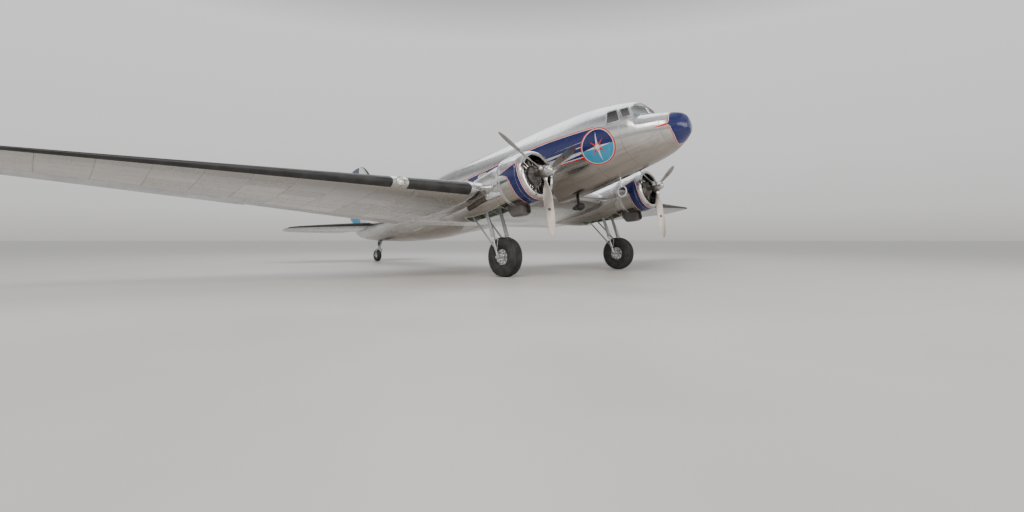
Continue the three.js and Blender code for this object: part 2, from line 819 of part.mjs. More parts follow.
// A symmetrical surface ahead of its hinge, from rows of: span place, leading edge, thickness.
function fixedSurface(rows, hinge, chord, place) {
  const rings = rows.map(([span, lead, thick]) => {
    const front = hinge(span) - SETBACK - lead;
    const whole = front + chord(span);
    const outline = aerofoil(whole, thick, 0, front / whole, 9);
    return outline.map((p) => place(span, lead + p.x, p.y));
  });
  return rings;
}

function rudderFrame() {
  return hingeFrame(vec(...RUDDER_HINGE.low), vec(...RUDDER_HINGE.high));
}

function fin() {
  const [low, high] = [RUDDER_HINGE.low, RUDDER_HINGE.high];
  const hinge = (z) => low[1] + ((high[1] - low[1]) * (z - low[2])) / (high[2] - low[2]);
  const chord = (z) => (z > 3500 ? 900 : 1350);
  const rings = fixedSurface(FIN, hinge, chord, (z, y, x) => vec(x, y, z));
  const body = loft(rings, (p) => new THREE.Vector2(p.x, p.y));
  const hollow = moved(cove(RUDDER, 400), rudderFrame());
  return cut(body, fuselageLoft(FUSELAGE, SEAT_GAP), hollow);
}

function elevatorFrame() {
  return hingeFrame(vec(0, ELEVATOR_Y, TAILPLANE_Z), vec(4000, ELEVATOR_Y, TAILPLANE_Z));
}

function tailplane() {
  const chord = (x) => (x > 3600 ? 520 : 860 - (x / 3600) * 200);
  const rings = fixedSurface(TAILPLANE, () => ELEVATOR_Y, chord, (x, y, z) => vec(x, y, TAILPLANE_Z + z));
  const hollow = moved(cove(ELEVATOR, 400), elevatorFrame());
  return cut(loft(rings, sideView), fuselageLoft(FUSELAGE, SEAT_GAP), hollow);
}

// Assembly

const airframe = new THREE.Group();
const groundRun = TAIL_AXLE.y - MAIN_AXLE.y;
const groundRise = TAIL_AXLE.z - MAIN_AXLE.z;
const groundAngle =
  Math.atan2(groundRise, groundRun) +
  Math.asin((MAIN_TYRE.radius - TAIL_TYRE.radius) / Math.hypot(groundRun, groundRise));

function add(parent, name, body, colour) {
  const mesh = new THREE.Mesh(body.isBufferGeometry ? body : geometryOf(body), paint(colour));
  mesh.name = name;
  parent.add(mesh);
  return mesh;
}

// A group whose x axis is a hinge.
function hinged(parent, name, frame) {
  const group = new THREE.Group();
  group.name = name;
  frame.decompose(group.position, group.quaternion, group.scale);
  parent.add(group);
  return group;
}

function addFuselage() {
  const seam = FUSELAGE.findIndex(([y]) => y === NOSE_SEAM);
  const nose = FUSELAGE.slice(0, seam + 1);
  const main = [[NOSE_SEAM + SEAT_GAP, ...FUSELAGE[seam].slice(1)], ...FUSELAGE.slice(seam + 1)];
  const hall = doorSlab(6, 1400);
  const mirror = new THREE.Matrix4().makeScale(-1, 1, 1);
  const recesses = PANES.flatMap(([, corners]) => {
    const port = panePrism(corners, SEAT_GAP);
    return [port, moved(port, mirror)];
  });
  add(airframe, "nose_cone", fuselageLoft(nose), "blue");
  const body = join([cut(fuselageLoft(main), hall, ...recesses), ...doorBrackets()]);
  add(airframe, "fuselage", body, "skin");
}

function addDoor() {
  const skin = fuselageLoft(FUSELAGE);
  const lining = fuselageLoft(FUSELAGE, -DOOR.thick);
  const { x, y } = doorAxis();
  const { radius, half, heights } = DOOR_HINGE;
  const knuckles = heights.flatMap((z) => [
    rod(vec(x, y, z - half), vec(x, y, z + half), radius, 10),
    box(x - radius * 0.7, x + radius * 0.7, y, DOOR.front + 60, z - half, z + half),
    box(x - radius * 0.7, x + 50, DOOR.front + 2, DOOR.front + 60, z - half, z + half),
  ]);
  const body = join([cut(skin.intersect(doorSlab(0, 1400)), lining), ...knuckles]);
  const frame = hingeFrame(vec(x, y, DOOR.sill), vec(x, y, DOOR.head));
  const group = hinged(airframe, "passenger_door_hinge", frame);
  add(group, "passenger_door", moved(body, frame.clone().invert()), "skin");
}

function addWing(side, prefix) {
  const aileron = aileronParts();
  const flaps = FLAPS.map(([name, from, to]) => ({ name, ...flapParts(from, to) }));
  const lamp = outerWingPlace(LAMP.x);
  const lampRod = (gap) => {
    const front = vec(LAMP.x, lamp.y - LAMP.proud, lamp.z + 6);
    return rod(front, vec(LAMP.x, lamp.y + LAMP.depth + gap, lamp.z + 6), LAMP.radius + gap, 16);
  };
  const band = cut(jointBand(), flaps[0].hollow, flaps[1].hollow);
  add(side, "wing_joint_band" + prefix, band, "skin");
  add(side, "outer_wing" + prefix, cut(outerWing(), aileron.hollow, flaps[1].hollow, lampRod(SEAT_GAP)), "skin");
  add(side, "landing_light" + prefix, lampRod(0), "lamp");
  const turn = hinged(side, "aileron_hinge" + prefix, aileron.frame);
  add(turn, "aileron" + prefix, aileron.body, "skin");
  for (const flap of flaps) {
    const group = hinged(side, flap.name + "_hinge" + prefix, flap.frame);
    add(group, flap.name + prefix, flap.body, "skin");
  }
}

function addPower(side, prefix, sign) {
  add(side, "nacelle" + prefix, nacelle(), "skin");
  add(side, "cowling" + prefix, cowling(), "skin");
  add(side, "engine" + prefix, engine(), "steel");
  add(side, "carburettor_scoop" + prefix, scoop(), "skin");
  add(side, "oil_cooler" + prefix, oilCooler(), "skin");
  add(side, "exhaust" + prefix, exhaust(), "dark");
  const group = new THREE.Group();
  group.position.set(ENGINE.x, ENGINE.hubY, ENGINE.z);
  group.scale.x = sign; // both propellers turn the same way
  group.name = "propeller_hinge" + prefix;
  side.add(group);
  add(group, "propeller" + prefix, propeller(), "blade");
}

function addMainGear(side, prefix) {
  add(side, "main_gear" + prefix, mainGear(), "grey");
  const group = new THREE.Group();
  group.position.set(ENGINE.x, MAIN_AXLE.y, MAIN_AXLE.z);
  group.rotation.x = groundAngle;
  group.name = "main_wheel_hinge" + prefix;
  side.add(group);
  add(group, "main_wheel" + prefix, wheel(MAIN_TYRE, MAIN_BORE, MAIN_SIDES), "grey");
  add(group, "main_tyre" + prefix, tyre(MAIN_TYRE, MAIN_SIDES), "rubber");
}

function addTailWheel() {
  const unit = new THREE.Group();
  unit.name = "tail_swivel";
  unit.rotation.x = groundAngle;
  const down = vec(0, Math.sin(groundAngle), -Math.cos(groundAngle)).multiplyScalar(TAIL_TYRE.radius);
  const forward = vec(0, -Math.cos(groundAngle), -Math.sin(groundAngle)).multiplyScalar(TAIL_TRAIL);
  unit.position.set(0, TAIL_AXLE.y, TAIL_AXLE.z).add(down).add(forward);
  airframe.add(unit);
  unit.updateMatrix();
  const crown = TAIL_CROWN + END_GAP;
  const socket = vec(0, 0, crown).applyMatrix4(unit.matrix);
  const root = vec(0, 0, crown + 600).applyMatrix4(unit.matrix);
  const brace = vec(0, socket.y - 650, -200);
  const strut = join([
    rod(socket, root, 62, 14, 80),
    rod(vec(0, socket.y, socket.z + 60), brace, 36, 10),
  ]);
  add(airframe, "tail_strut", cut(strut, fuselageLoft(FUSELAGE, SEAT_GAP)), "grey");
  add(unit, "tail_fork", tailFork(), "grey");
  const axle = new THREE.Group();
  axle.name = "tail_wheel_hinge";
  axle.position.set(0, TAIL_TRAIL, TAIL_TYRE.radius);
  unit.add(axle);
  add(axle, "tail_wheel", wheel(TAIL_TYRE, TAIL_BORE, TAIL_SIDES), "grey");
  add(axle, "tail_tyre", tyre(TAIL_TYRE, TAIL_SIDES), "rubber");
}

function addTail() {
  add(airframe, "fin", fin(), "skin");
  const frame = rudderFrame();
  add(hinged(airframe, "rudder_hinge", frame), "rudder", surface(RUDDER, TAIL_PIN), "sky");
}

function addTailplane(side, prefix) {
  add(side, "tailplane" + prefix, tailplane(), "skin");
  add(hinged(side, "elevator_hinge" + prefix, elevatorFrame()), "elevator" + prefix, surface(ELEVATOR, TAIL_PIN), "skin");
}

// Aerials under the nose
function addAerials() {
  const housing = solid(
    new THREE.LatheGeometry(
      [[-230, 0], [-215, 40], [-150, 92], [-60, 118], [60, 100], [200, 55], [300, 0]].map(
        ([y, r]) => new THREE.Vector2(r, y),
      ),
      10,
    ).translate(0, 4030, -1560),
  );
  const mast = rod(vec(0, 4030, -1540), vec(0, 4030, -1100), 26, 10);
  const skin = fuselageLoft(FUSELAGE, SEAT_GAP);
  add(airframe, "direction_finder", cut(join([housing, mast]), skin), "dark");
  const ring = new THREE.TorusGeometry(150, 17, 6, 16).rotateY(Math.PI / 2).translate(0, 2370, -1460);
  const foot = rod(vec(0, 2370, -1330), vec(0, 2370, -900), 22, 8);
  add(airframe, "loop_aerial", cut(join([solid(ring), foot]), skin), "dark");
}

addFuselage();
addDoor();
const gappedSkin = fuselageLoft(FUSELAGE, SEAT_GAP);
const innerFlap = flapParts(FLAPS[0][1], FLAPS[0][2]).hollow;
const otherFlap = moved(innerFlap, new THREE.Matrix4().makeScale(-1, 1, 1));
add(airframe, "centre_wing", cut(centreWing(), gappedSkin, innerFlap, otherFlap), "skin");
addTail();
addTailWheel();
addAerials();
for (const [prefix, sign] of [["_port", 1], ["_starboard", -1]]) {
  const side = new THREE.Group();
  side.scale.x = sign;
  airframe.add(side);
  for (const [name, corners] of PANES) add(side, name + prefix, panePrism(corners), "glass");
  addWing(side, prefix);
  addPower(side, prefix, sign);
  addMainGear(side, prefix);
  addTailplane(side, prefix);
}

const airliner = new THREE.Group();
airframe.rotation.x = -groundAngle;
airliner.add(airframe);
airliner.updateMatrixWorld(true);
const bounds = new THREE.Box3().setFromObject(airliner, true);
const middle = bounds.getCenter(vec(0, 0, 0));
airframe.position.set(0, -middle.y, -bounds.min.z);

export default airliner;
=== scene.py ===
"""Polished-metal twin-engined airliner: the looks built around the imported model, laid out as an add-on.

All sizes are metres. The aircraft is drawn in its own level frame, x to port, y aft from the nose,
z up from the middle of the cabin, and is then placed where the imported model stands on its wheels.
"""

import json
from collections import Counter
from math import asin, ceil, cos, degrees, hypot, pi, radians, sin, sqrt

import bmesh
import bpy
import numpy as np
from bpy.props import FloatProperty, FloatVectorProperty, PointerProperty
from bpy.types import Operator, Panel, PropertyGroup
from mathutils import Matrix, Vector
from mathutils.geometry import delaunay_2d_cdt
from numpy import arange, interp, linspace


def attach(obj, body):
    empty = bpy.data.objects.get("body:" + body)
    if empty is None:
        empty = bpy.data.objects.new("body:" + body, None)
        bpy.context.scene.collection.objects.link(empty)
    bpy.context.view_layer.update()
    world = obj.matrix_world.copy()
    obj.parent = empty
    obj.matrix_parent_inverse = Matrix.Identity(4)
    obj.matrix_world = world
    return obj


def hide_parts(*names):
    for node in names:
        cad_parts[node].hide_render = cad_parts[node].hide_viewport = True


bl_info = {
    "name": "Polished Airliner",
    "version": (1, 0, 0),
    "blender": (4, 5, 0),
    "location": "3D View > Sidebar > Airliner",
    "description": "Builds the visible pieces of a twin-engined tail-wheel airliner around its packed model",
    "category": "Add Mesh",
}

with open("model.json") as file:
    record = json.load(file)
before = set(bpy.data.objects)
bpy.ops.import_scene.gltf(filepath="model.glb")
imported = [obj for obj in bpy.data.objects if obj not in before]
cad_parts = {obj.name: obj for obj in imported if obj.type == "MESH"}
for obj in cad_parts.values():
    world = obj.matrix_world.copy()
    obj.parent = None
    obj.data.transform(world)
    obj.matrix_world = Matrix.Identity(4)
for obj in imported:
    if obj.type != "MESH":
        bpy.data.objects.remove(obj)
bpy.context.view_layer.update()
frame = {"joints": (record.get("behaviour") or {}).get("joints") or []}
JOINTS = {joint["name"]: joint for joint in frame["joints"]}

# Placing: the level frame is found again from the port propeller's joint
HUB = Vector((2.82, 2.83, -1))
GROUND_ANGLE = asin(-JOINTS["propeller_spin_port"]["axis"][2])
TIP_BACK = Matrix.Rotation(-GROUND_ANGLE, 4, "X")
TO_ROW = Matrix.Translation(Vector(JOINTS["propeller_spin_port"]["pos_m"]) - TIP_BACK @ HUB) @ TIP_BACK
FROM_ROW = TO_ROW.inverted()
SIDES = (("port", 1), ("starboard", -1))

# Fuselage: y, half width, top, bottom, height of the widest point
FUSELAGE = np.array([
    (0, 0.12, -0.06, -0.32, -0.19), (0.06, 0.3, 0.095, -0.42, -0.185), (0.22, 0.49, 0.2, -0.552, -0.175),
    (0.43, 0.66, 0.266, -0.67, -0.16), (0.7, 0.81, 0.335, -0.788, -0.14),
    (0.96, 0.905, 0.41, -0.85, -0.12), (1.05, 0.935, 0.45, -0.868, -0.112),
    (1.16, 0.965, 0.735, -0.885, -0.105), (1.29, 1, 0.88, -0.905, -0.095),
    (1.69, 1.06, 1.01, -0.96, -0.075), (2.17, 1.11, 1.11, -1.03, -0.055),
    (2.68, 1.15, 1.19, -1.095, -0.04), (3.58, 1.205, 1.262, -1.19, -0.015), (5, 1.24, 1.29, -1.27, 0),
    (9.8, 1.24, 1.298, -1.285, 0), (10.91, 1.222, 1.265, -1.25, 0.005),
    (12.11, 1.16, 1.238, -1.15, 0.04), (13.57, 1.01, 1.182, -0.96, 0.11), (15.5, 0.7, 1.07, -0.62, 0.23),
    (17, 0.43, 0.925, -0.325, 0.32), (18, 0.245, 0.77, -0.05, 0.38), (18.7, 0.11, 0.6, 0.25, 0.43),
    (18.9, 0.04, 0.49, 0.41, 0.45),
])
NOSE_SEAM = 0.43
SKIN_LIFT = 0.0025  # paint and trim lie this far proud of the sheet metal

# Cockpit panes on the port side: corners in turn
PANES = (
    ("windshield", ((0.032, 1.068, 0.455), (0.764, 1.17, 0.366), (0.652, 1.26, 0.622), (0.032, 1.15, 0.69))),
    ("sliding_window",
     ((0.822, 1.196, 0.335), (0.922, 1.412, 0.322), (0.812, 1.53, 0.64), (0.706, 1.302, 0.634))),
    ("side_window",
     ((0.952, 1.482, 0.262), (1.052, 1.868, 0.272), (0.915, 1.882, 0.652), (0.838, 1.592, 0.642))),
)

# Passenger door, starboard
DOOR = {"front": 11.42, "rear": 12.28, "sill": -0.78, "head": 0.72, "thick": 0.055}

# Wing
WING_LEAD = (4.49, -1.07)
WING_CHORD = 4.318
WING_TRAIL = WING_LEAD[0] + WING_CHORD
WING_INCIDENCE = radians(2)
WING_CAMBER = 0.02
WING_THICK = 0.155
CENTRE_HALF_SPAN = 3.77
OUTER_START = 3.83
SWEEP = 0.2773
DIHEDRAL = 0.083
# x, share of the straight taper's chord, thickness against chord, aft shift of the rounded tip
OUTER_WING = np.array([
    (3.83, 1, 0.155, 0), (8.6, 1, 0.125, 0), (13.2, 1, 0.085, 0), (13.9, 0.9, 0.08, 0.06),
    (14.26, 0.7, 0.075, 0.17), (14.43, 0.42, 0.07, 0.33), (14.478, 0.16, 0.06, 0.49),
])
FLAP_CHORD = 0.64
FLAPS = (("centre_flap", 1.33, 3.74), ("outer_flap", 3.87, 8.48))
AILERON = ((8.62, 0.65), (13.56, 0.43))  # place along the span and chord at both ends
RUN_GAP = 0.008
LAMP_X = 5.84

# Engines: half width, top and bottom of the nacelle at y; y, radius of the cowling, outside then inside
ENGINE_X, ENGINE_Z = HUB.x, HUB.z
NACELLE = np.array([
    (3.985, 0.6, -0.4, -1.6), (4.25, 0.64, -0.395, -1.67), (4.8, 0.64, -0.455, -1.745),
    (5.4, 0.6, -0.525, -1.765), (6, 0.525, -0.6, -1.71), (6.6, 0.43, -0.68, -1.6),
    (7.2, 0.32, -0.775, -1.44), (7.8, 0.2, -0.92, -1.29), (8.25, 0.09, -1.06, -1.2),
])
WELL_HALF, WELL_FRONT, WELL_REAR, WELL_ROOF = 0.35, 4.33, 5.95, -1.25
COWL_OUTSIDE = ((3.05, 0.56), (3.062, 0.605), (3.11, 0.65), (3.23, 0.693), (3.42, 0.713), (3.7, 0.717),
                (4, 0.706))
COWL_INSIDE = ((4, 0.694), (3.7, 0.703), (3.42, 0.699), (3.24, 0.676), (3.13, 0.56), (3.085, 0.534))
CYLINDERS = 9
BLADES = 3

# Landing gear: tyre radius, half width and rim radius
MAIN_AXLE = Vector((0, 4.75, -2.99))
MAIN_TYRE = (0.5715, 0.215, 0.235)
TAIL_TYRE = (0.28, 0.105, 0.12)
TAIL_TRAIL = 0.2
TAIL_CROWN = 0.655

# Tail. Fin and tailplane: place, leading edge, thickness; rudder and elevator: place, nose radius, chord
FIN = np.array([
    (0.76, 15.3, 0.085), (1.18, 15.42, 0.085), (1.38, 15.74, 0.09), (1.9, 16.2, 0.09), (2.7, 16.72, 0.09),
    (3.3, 17.16, 0.09), (3.6, 17.49, 0.085), (3.74, 17.74, 0.08),
])
RUDDER_LOW = Vector((0, 18.21, 0.7))
RUDDER_HIGH = Vector((0, 17.93, 3.74))
RUDDER = np.array([
    (0.11, 0.08, 0.64), (0.26, 0.084, 1.08), (0.48, 0.084, 1.28), (0.9, 0.082, 1.37), (1.9, 0.07, 1.34),
    (2.55, 0.056, 1.23), (2.86, 0.044, 1), (3.01, 0.032, 0.7), (3.052, 0.024, 0.38),
])
TAILPLANE_Z = 0.42
TAILPLANE = np.array([
    (0.06, 16.35, 0.11), (0.7, 16.5, 0.11), (3.2, 17.29, 0.1), (3.7, 17.5, 0.095), (3.96, 17.72, 0.09),
    (4.04, 17.88, 0.08),
])
ELEVATOR_Y = 18.08
ELEVATOR = np.array([
    (0.35, 0.092, 0.13), (0.96, 0.088, 0.86), (3.3, 0.055, 0.72), (3.78, 0.042, 0.56), (3.99, 0.03, 0.33),
    (4.05, 0.024, 0.13),
])
SETBACK = 0.012
TAIL_PIN = 0.022


# Shape helpers. A part is a pair: an array of points and a list of faces.

def eased(table, at):
    """Columns of a table at the places asked for, on smooth curves that never overshoot."""
    xs = table[:, 0]
    steps = np.diff(xs)
    k = np.clip(np.searchsorted(xs, at, side="right") - 1, 0, len(xs) - 2)
    h, t = steps[k], (at - xs[k]) / steps[k]
    columns = []
    for column in table.T[1:]:
        slope = np.diff(column) / steps
        tangent = np.zeros(len(xs))
        for i in range(1, len(xs) - 1):
            if slope[i - 1] * slope[i] > 0:
                weight = 2 * steps[i] + steps[i - 1], steps[i] + 2 * steps[i - 1]
                tangent[i] = sum(weight) / (weight[0] / slope[i - 1] + weight[1] / slope[i])
        tangent[0], tangent[-1] = slope[0], slope[-1]
        ends = column[k] * (1 + 2 * t) * (1 - t) ** 2 + column[k + 1] * t * t * (3 - 2 * t)
        columns.append(ends + h * (tangent[k] * t * (1 - t) ** 2 + tangent[k + 1] * t * t * (t - 1)))
    return np.array(columns)


def full_turn(count):
    """Angles all the way round."""
    return linspace(0, 2 * pi, count, endpoint=False)


def rounding(count, turn=pi / 2):
    """Shares of the way into a rounded tip, closer together toward its end."""
    return np.sin(linspace(0, turn, count))


def polar(radius, angles, middle=(0, 0)):
    return [(middle[0] + radius * cos(a), middle[1] + radius * sin(a)) for a in angles]


def lofted(rings, caps=(True, True)):
    """A skin through closed rings of equal count."""
    rings = np.asarray(rings, float)
    count, sides = rings.shape[:2]
    faces = []
    for base in range(0, (count - 1) * sides, sides):
        for i in range(sides):
            j = (i + 1) % sides
            faces.append((base + i, base + j, base + sides + j, base + sides + i))
    if caps[0]:
        faces.append(tuple(range(sides))[::-1])
    if caps[1]:
        faces.append(tuple(range((count - 1) * sides, count * sides)))
    return rings.reshape(-1, 3), faces


def framed(rings):
    """A frame through rings that come back to the first one."""
    return lofted([*rings, rings[0]], (False, False))


def merged(parts):
    """Several parts as one."""
    points, faces, base = [], [], 0
    for verts, polygons in parts:
        points.append(verts)
        faces.extend(tuple(i + base for i in polygon) for polygon in polygons)
        base += len(verts)
    return np.vstack(points), faces


def moved(part, matrix):
    verts, faces = part
    return (np.c_[verts, np.ones(len(verts))] @ np.array(matrix).T)[:, :3], faces


def both_sides(part):
    """A part and its mirror image."""
    return [part, (part[0] * (-1, 1, 1), [face[::-1] for face in part[1]])]


def basis_along(direction):
    """Two unit vectors square to a direction."""
    direction = direction.normalized()
    helper = Vector((0, 0, 1)) if abs(direction.z) < 0.9 else Vector((1, 0, 0))
    u = direction.cross(helper).normalized()
    return u, direction.cross(u).normalized()


def rod(start, end, radius, sides=20, end_radius=None):
    """A round rod with slightly rounded ends."""
    start, end = Vector(start), Vector(end)
    end_radius = end_radius or radius
    length = (end - start).length
    soft = min(radius, end_radius, length * 0.4) * 0.18
    u, v = basis_along(end - start)
    along = (end - start).normalized()
    ends = ((0, radius - soft), (soft, radius), (length - soft, end_radius), (length, end_radius - soft))
    return lofted([[start + along * s + (u * cos(a) + v * sin(a)) * r for a in full_turn(sides)]
                   for s, r in ends])


def swept(path, radius, sides=14, caps=(True, True)):
    """A tube along a path. radius is one number, or one for each point."""
    path = [Vector(p) for p in path]
    radii = np.broadcast_to(radius, len(path))
    u = basis_along(path[1] - path[0])[0]
    rings = []
    for i, (point, size) in enumerate(zip(path, radii)):
        along = (path[min(i + 1, len(path) - 1)] - path[max(i - 1, 0)]).normalized()
        u = (u - along * u.dot(along)).normalized()
        v = along.cross(u)
        rings.append([point + (u * cos(a) + v * sin(a)) * size for a in full_turn(sides)])
    return lofted(rings, caps)


def turned(profile, axis, origin=(0, 0, 0), sides=48, closed=False):
    """A turned part: profile rows are place along the axis and radius. A closed profile is a ring."""
    c, s = np.cos(full_turn(sides)), np.sin(full_turn(sides))
    rings = []
    for along, r in profile:
        a, u, v = np.full(sides, along), r * c, r * s
        rings.append(np.stack({"x": (a, u, v), "y": (v, a, u), "z": (u, v, a)}[axis], 1))
    verts, faces = framed(rings) if closed else lofted(rings)
    return verts + origin, faces


def hoop(middle, radius, thick, count, sides=10, axis="y"):
    """A ring of round tube."""
    return turned([(v, radius + u) for u, v in polar(thick, full_turn(sides))], axis, middle, count, True)


def curve_through(points, steps=8):
    """A smooth path through points."""
    points = [Vector(p) for p in points]
    padded = [points[0] * 2 - points[1], *points, points[-1] * 2 - points[-2]]
    path = []
    for a, b, c, d in zip(padded, padded[1:], padded[2:], padded[3:]):
        for t in linspace(0, 1, steps, endpoint=False):
            path.append(0.5 * (2 * b + (c - a) * t + (2 * a - 5 * b + 4 * c - d) * t * t
                               + (3 * b - a - 3 * c + d) * t ** 3))
    return [*path, points[-1]]


def block(low, high, round_by=0, sides=3):
    """A box with rounded edges."""
    mesh = bmesh.new()
    bmesh.ops.create_cube(mesh, size=1)
    for vert in mesh.verts:
        vert.co = [a + (share + 0.5) * (b - a) for share, a, b in zip(vert.co, low, high)]
    if round_by:
        bmesh.ops.bevel(mesh, geom=mesh.edges[:], offset=round_by, segments=sides, affect="EDGES")
    return taken(mesh)


def taken(mesh):
    """The points and faces of a bmesh, which is freed."""
    mesh.verts.index_update()
    part = (np.array([v.co for v in mesh.verts]), [tuple(v.index for v in f.verts) for f in mesh.faces])
    mesh.free()
    return part


def linked(name, data):
    obj = bpy.data.objects.new(name, data)
    bpy.context.scene.collection.objects.link(obj)
    return obj


def drawn(name, part):
    """A linked object of a part, with its faces turned outward."""
    mesh = bpy.data.meshes.new(name)
    mesh.from_pydata(part[0].tolist(), [], part[1])
    tidy = bmesh.new()
    tidy.from_mesh(mesh)
    bmesh.ops.recalc_face_normals(tidy, faces=tidy.faces[:])
    tidy.to_mesh(mesh)
    tidy.free()
    return linked(name, mesh)


def piece(name, kit, node="", body="airframe", slot="polished_skin", flip=False, sharp=35, level=True,
          aside=0):
    """An object from a kit, which holds a part or a list of parts by finish, in place of a node."""
    kit = {finish: merged(parts) if isinstance(parts, list) else parts for finish, parts in kit.items()}
    whole = merged(kit.values())
    whole[0][:, 0] += aside
    obj = drawn(name, both_sides(whole)[flip])
    mesh = obj.data
    if level:
        mesh.transform(TO_ROW)
    for finish in kit:
        mesh.materials.append(finish_of(finish))
    owners = [k for k, (_, faces) in enumerate(kit.values()) for _ in faces]
    mesh.polygons.foreach_set("material_index", owners)
    mesh.shade_smooth()
    mesh.set_sharp_from_angle(angle=radians(sharp))
    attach(obj, body)
    if node:
        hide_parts(node)


def pair(name, kit, node="", body="airframe", **options):
    """A port piece and its mirror image; {} in a name stands for the side."""
    for side, sign in SIDES:
        piece(name.format(side), kit, node.format(side), body.format(side), flip=sign < 0, **options)


def placed(kit, matrix):
    """A kit of lists of parts, moved as one."""
    return {finish: moved(merged(parts), matrix) for finish, parts in kit.items()}


def carved(part, *cutters):
    """A part with other closed parts cut out of it."""
    base, *tools = [drawn("carving", item) for item in (part, *cutters)]
    for tool in tools:
        cut = base.modifiers.new("cut", "BOOLEAN")
        cut.operation, cut.solver, cut.object = "DIFFERENCE", "EXACT", tool
    bpy.context.view_layer.update()
    result = bmesh.new()
    result.from_object(base, bpy.context.evaluated_depsgraph_get())
    for obj in (base, *tools):
        mesh = obj.data
        bpy.data.objects.remove(obj)
        bpy.data.meshes.remove(mesh)
    return taken(result)


# Materials. Patterns are laid out in the level frame, so that they stay put when a part turns.

def settings():
    return bpy.context.scene.airliner


class Value:
    """A number that nodes work out, written as a sum of others."""

    def __init__(self, graph, socket):
        self.graph, self.socket = graph, socket

    def math(self, operation, *others):
        return self.graph.node("Math", self, *others, operation=operation)

    def __add__(self, other):
        return self.math("ADD", other)

    def __sub__(self, other):
        return self.math("SUBTRACT", other)

    def __mul__(self, other):
        return self.math("MULTIPLY", other)

    def __truediv__(self, other):
        return self.math("DIVIDE", other)

    def spread(self, low, high, to_low=0, to_high=1):
        """This value, taken from one range to another and held inside it."""
        return self.graph.node("MapRange", self, low, high, to_low, to_high)

    def near_line(self, period, width):
        """1 on the lines where the value crosses whole numbers, which lie a period apart."""
        apart = (self.math("FRACT") - 0.5).math("ABSOLUTE")
        return apart.spread(0.5 - 1.6 * width / period, 0.5 - 0.4 * width / period)


class Graph:
    """A material's node tree."""

    def __init__(self, name):
        self.material = bpy.data.materials.new(name)
        self.material.use_nodes = True
        self.tree = self.material.node_tree
        self.shader = self.tree.nodes["Principled BSDF"]
        self.level = self.node("Mapping", self.node("TexCoord", pick="Object"),
                               Location=FROM_ROW.translation, Rotation=(GROUND_ANGLE, 0, 0))
        self.x, self.y, self.z = (self.node("SeparateXYZ", self.level, pick=k) for k in range(3))
        self.span = self.x.math("ABSOLUTE")

    def node(self, kind, *inputs, pick=0, **named):
        """A new node's output. Its inputs are given in order, or by name beside its options."""
        made = self.tree.nodes.new("ShaderNode" + kind)
        for key, value in named.items():
            if key not in made.inputs:
                setattr(made, key, value)
        for key, value in (*enumerate(inputs), *named.items()):
            if isinstance(key, int) or key in made.inputs:
                self.feed(made.inputs[key], value)
        return Value(self, made.outputs[pick])

    def feed(self, socket, value):
        if isinstance(value, Value):
            self.tree.links.new(value.socket, socket)
        elif value is not None:
            socket.default_value = value

    def set(self, **inputs):
        for name, value in inputs.items():
            self.feed(self.shader.inputs[name.replace("_", " ")], value)
        return self.material

    def mix(self, factor, *colours):
        """A blend of two colours, which are the node's inputs 6 and 7."""
        ends = [(*c, 1) if isinstance(c, tuple) else c for c in colours]
        return self.node("Mix", factor, *[None] * 5, *ends, pick=2, data_type="RGBA")

    def noise(self, scale, detail=3, stretch=(1, 1, 1)):
        place = self.node("Mapping", self.level, Scale=stretch)
        return self.node("TexNoise", place, Scale=scale, Detail=detail)

    def facing_down(self):
        return self.node("SeparateXYZ", self.node("NewGeometry", pick="Normal"), pick=2) * -1

    def bump(self, height, distance, strength=1):
        relief = self.node("Bump", Height=height, Distance=distance, Strength=strength)
        self.feed(self.shader.inputs["Normal"], relief)


def grey(value):
    return (value, value, value)


def dimmed(colour, share=0.8):
    return tuple(c * share for c in colour)


def sheet_metal(graph, columns, rows, rough=0.15, film=0.8):
    """Polished sheet in panels, with a painted reflection that darkens the faces turned down toward a warm
    brown.

    columns and rows each give a pattern value and its period in metres.
    """
    (u, u_period), (v, v_period) = ((value / period, period) for value, period in (columns, rows))
    seams = u.near_line(u_period, 0.004).math("MAXIMUM", v.near_line(v_period, 0.004))
    rivets = rivet_row(u, u_period, v, v_period).math("MAXIMUM", rivet_row(v, v_period, u, u_period))
    cell = graph.node("CombineXYZ", u.math("FLOOR"), v.math("FLOOR"))
    sheet = graph.node("TexWhiteNoise", cell, noise_dimensions="2D")
    smear = graph.noise(1.3, 5)
    streak = graph.noise(9, 4, (1, 0.15, 1))
    bright = (0.77, 0.765, 0.755)
    # Painted reflection: faces turned down, streaked along the body, are blended toward dull warm brown, up
    # to the share film
    low = graph.facing_down() + streak.spread(0.2, 0.8, -0.2, 0.2)
    colour = graph.mix(sheet * 0.8, bright, dimmed(bright, 0.86))
    colour = graph.mix(smear.spread(0.35, 0.75, 0, 0.25), colour, (0.66, 0.64, 0.62))
    colour = graph.mix(low.spread(0.05, 0.8, 0, film), colour, (0.33, 0.285, 0.24))
    colour = graph.mix(seams * 0.6, colour, grey(0.12))
    colour = graph.mix(rivets * 0.22, colour, grey(0.3))
    shine = sheet.spread(0, 1, rough * 0.8, rough * 1.5) + streak.spread(0.3, 0.7, -0.03, 0.06)
    ripple = graph.noise(2.4, 1) * 0.35
    graph.bump(ripple - seams * 0.5 + rivets * 0.22, 0.004, 0.5)
    return graph.set(Base_Color=colour, Metallic=1, Roughness=shine + seams * 0.3)


def rivet_row(value, period, other, other_period):
    """Small rivet heads in a row beside the seams of one direction."""
    aside = (value.math("PINGPONG", 0.5) - 0.018 / period) * period
    off = ((other * (other_period / 0.04)).math("PINGPONG", 0.5) - 0.25) * 0.04
    away = (aside.math("POWER", 2) + off.math("POWER", 2)).math("SQRT")
    return away.spread(0.0045, 0.0025)


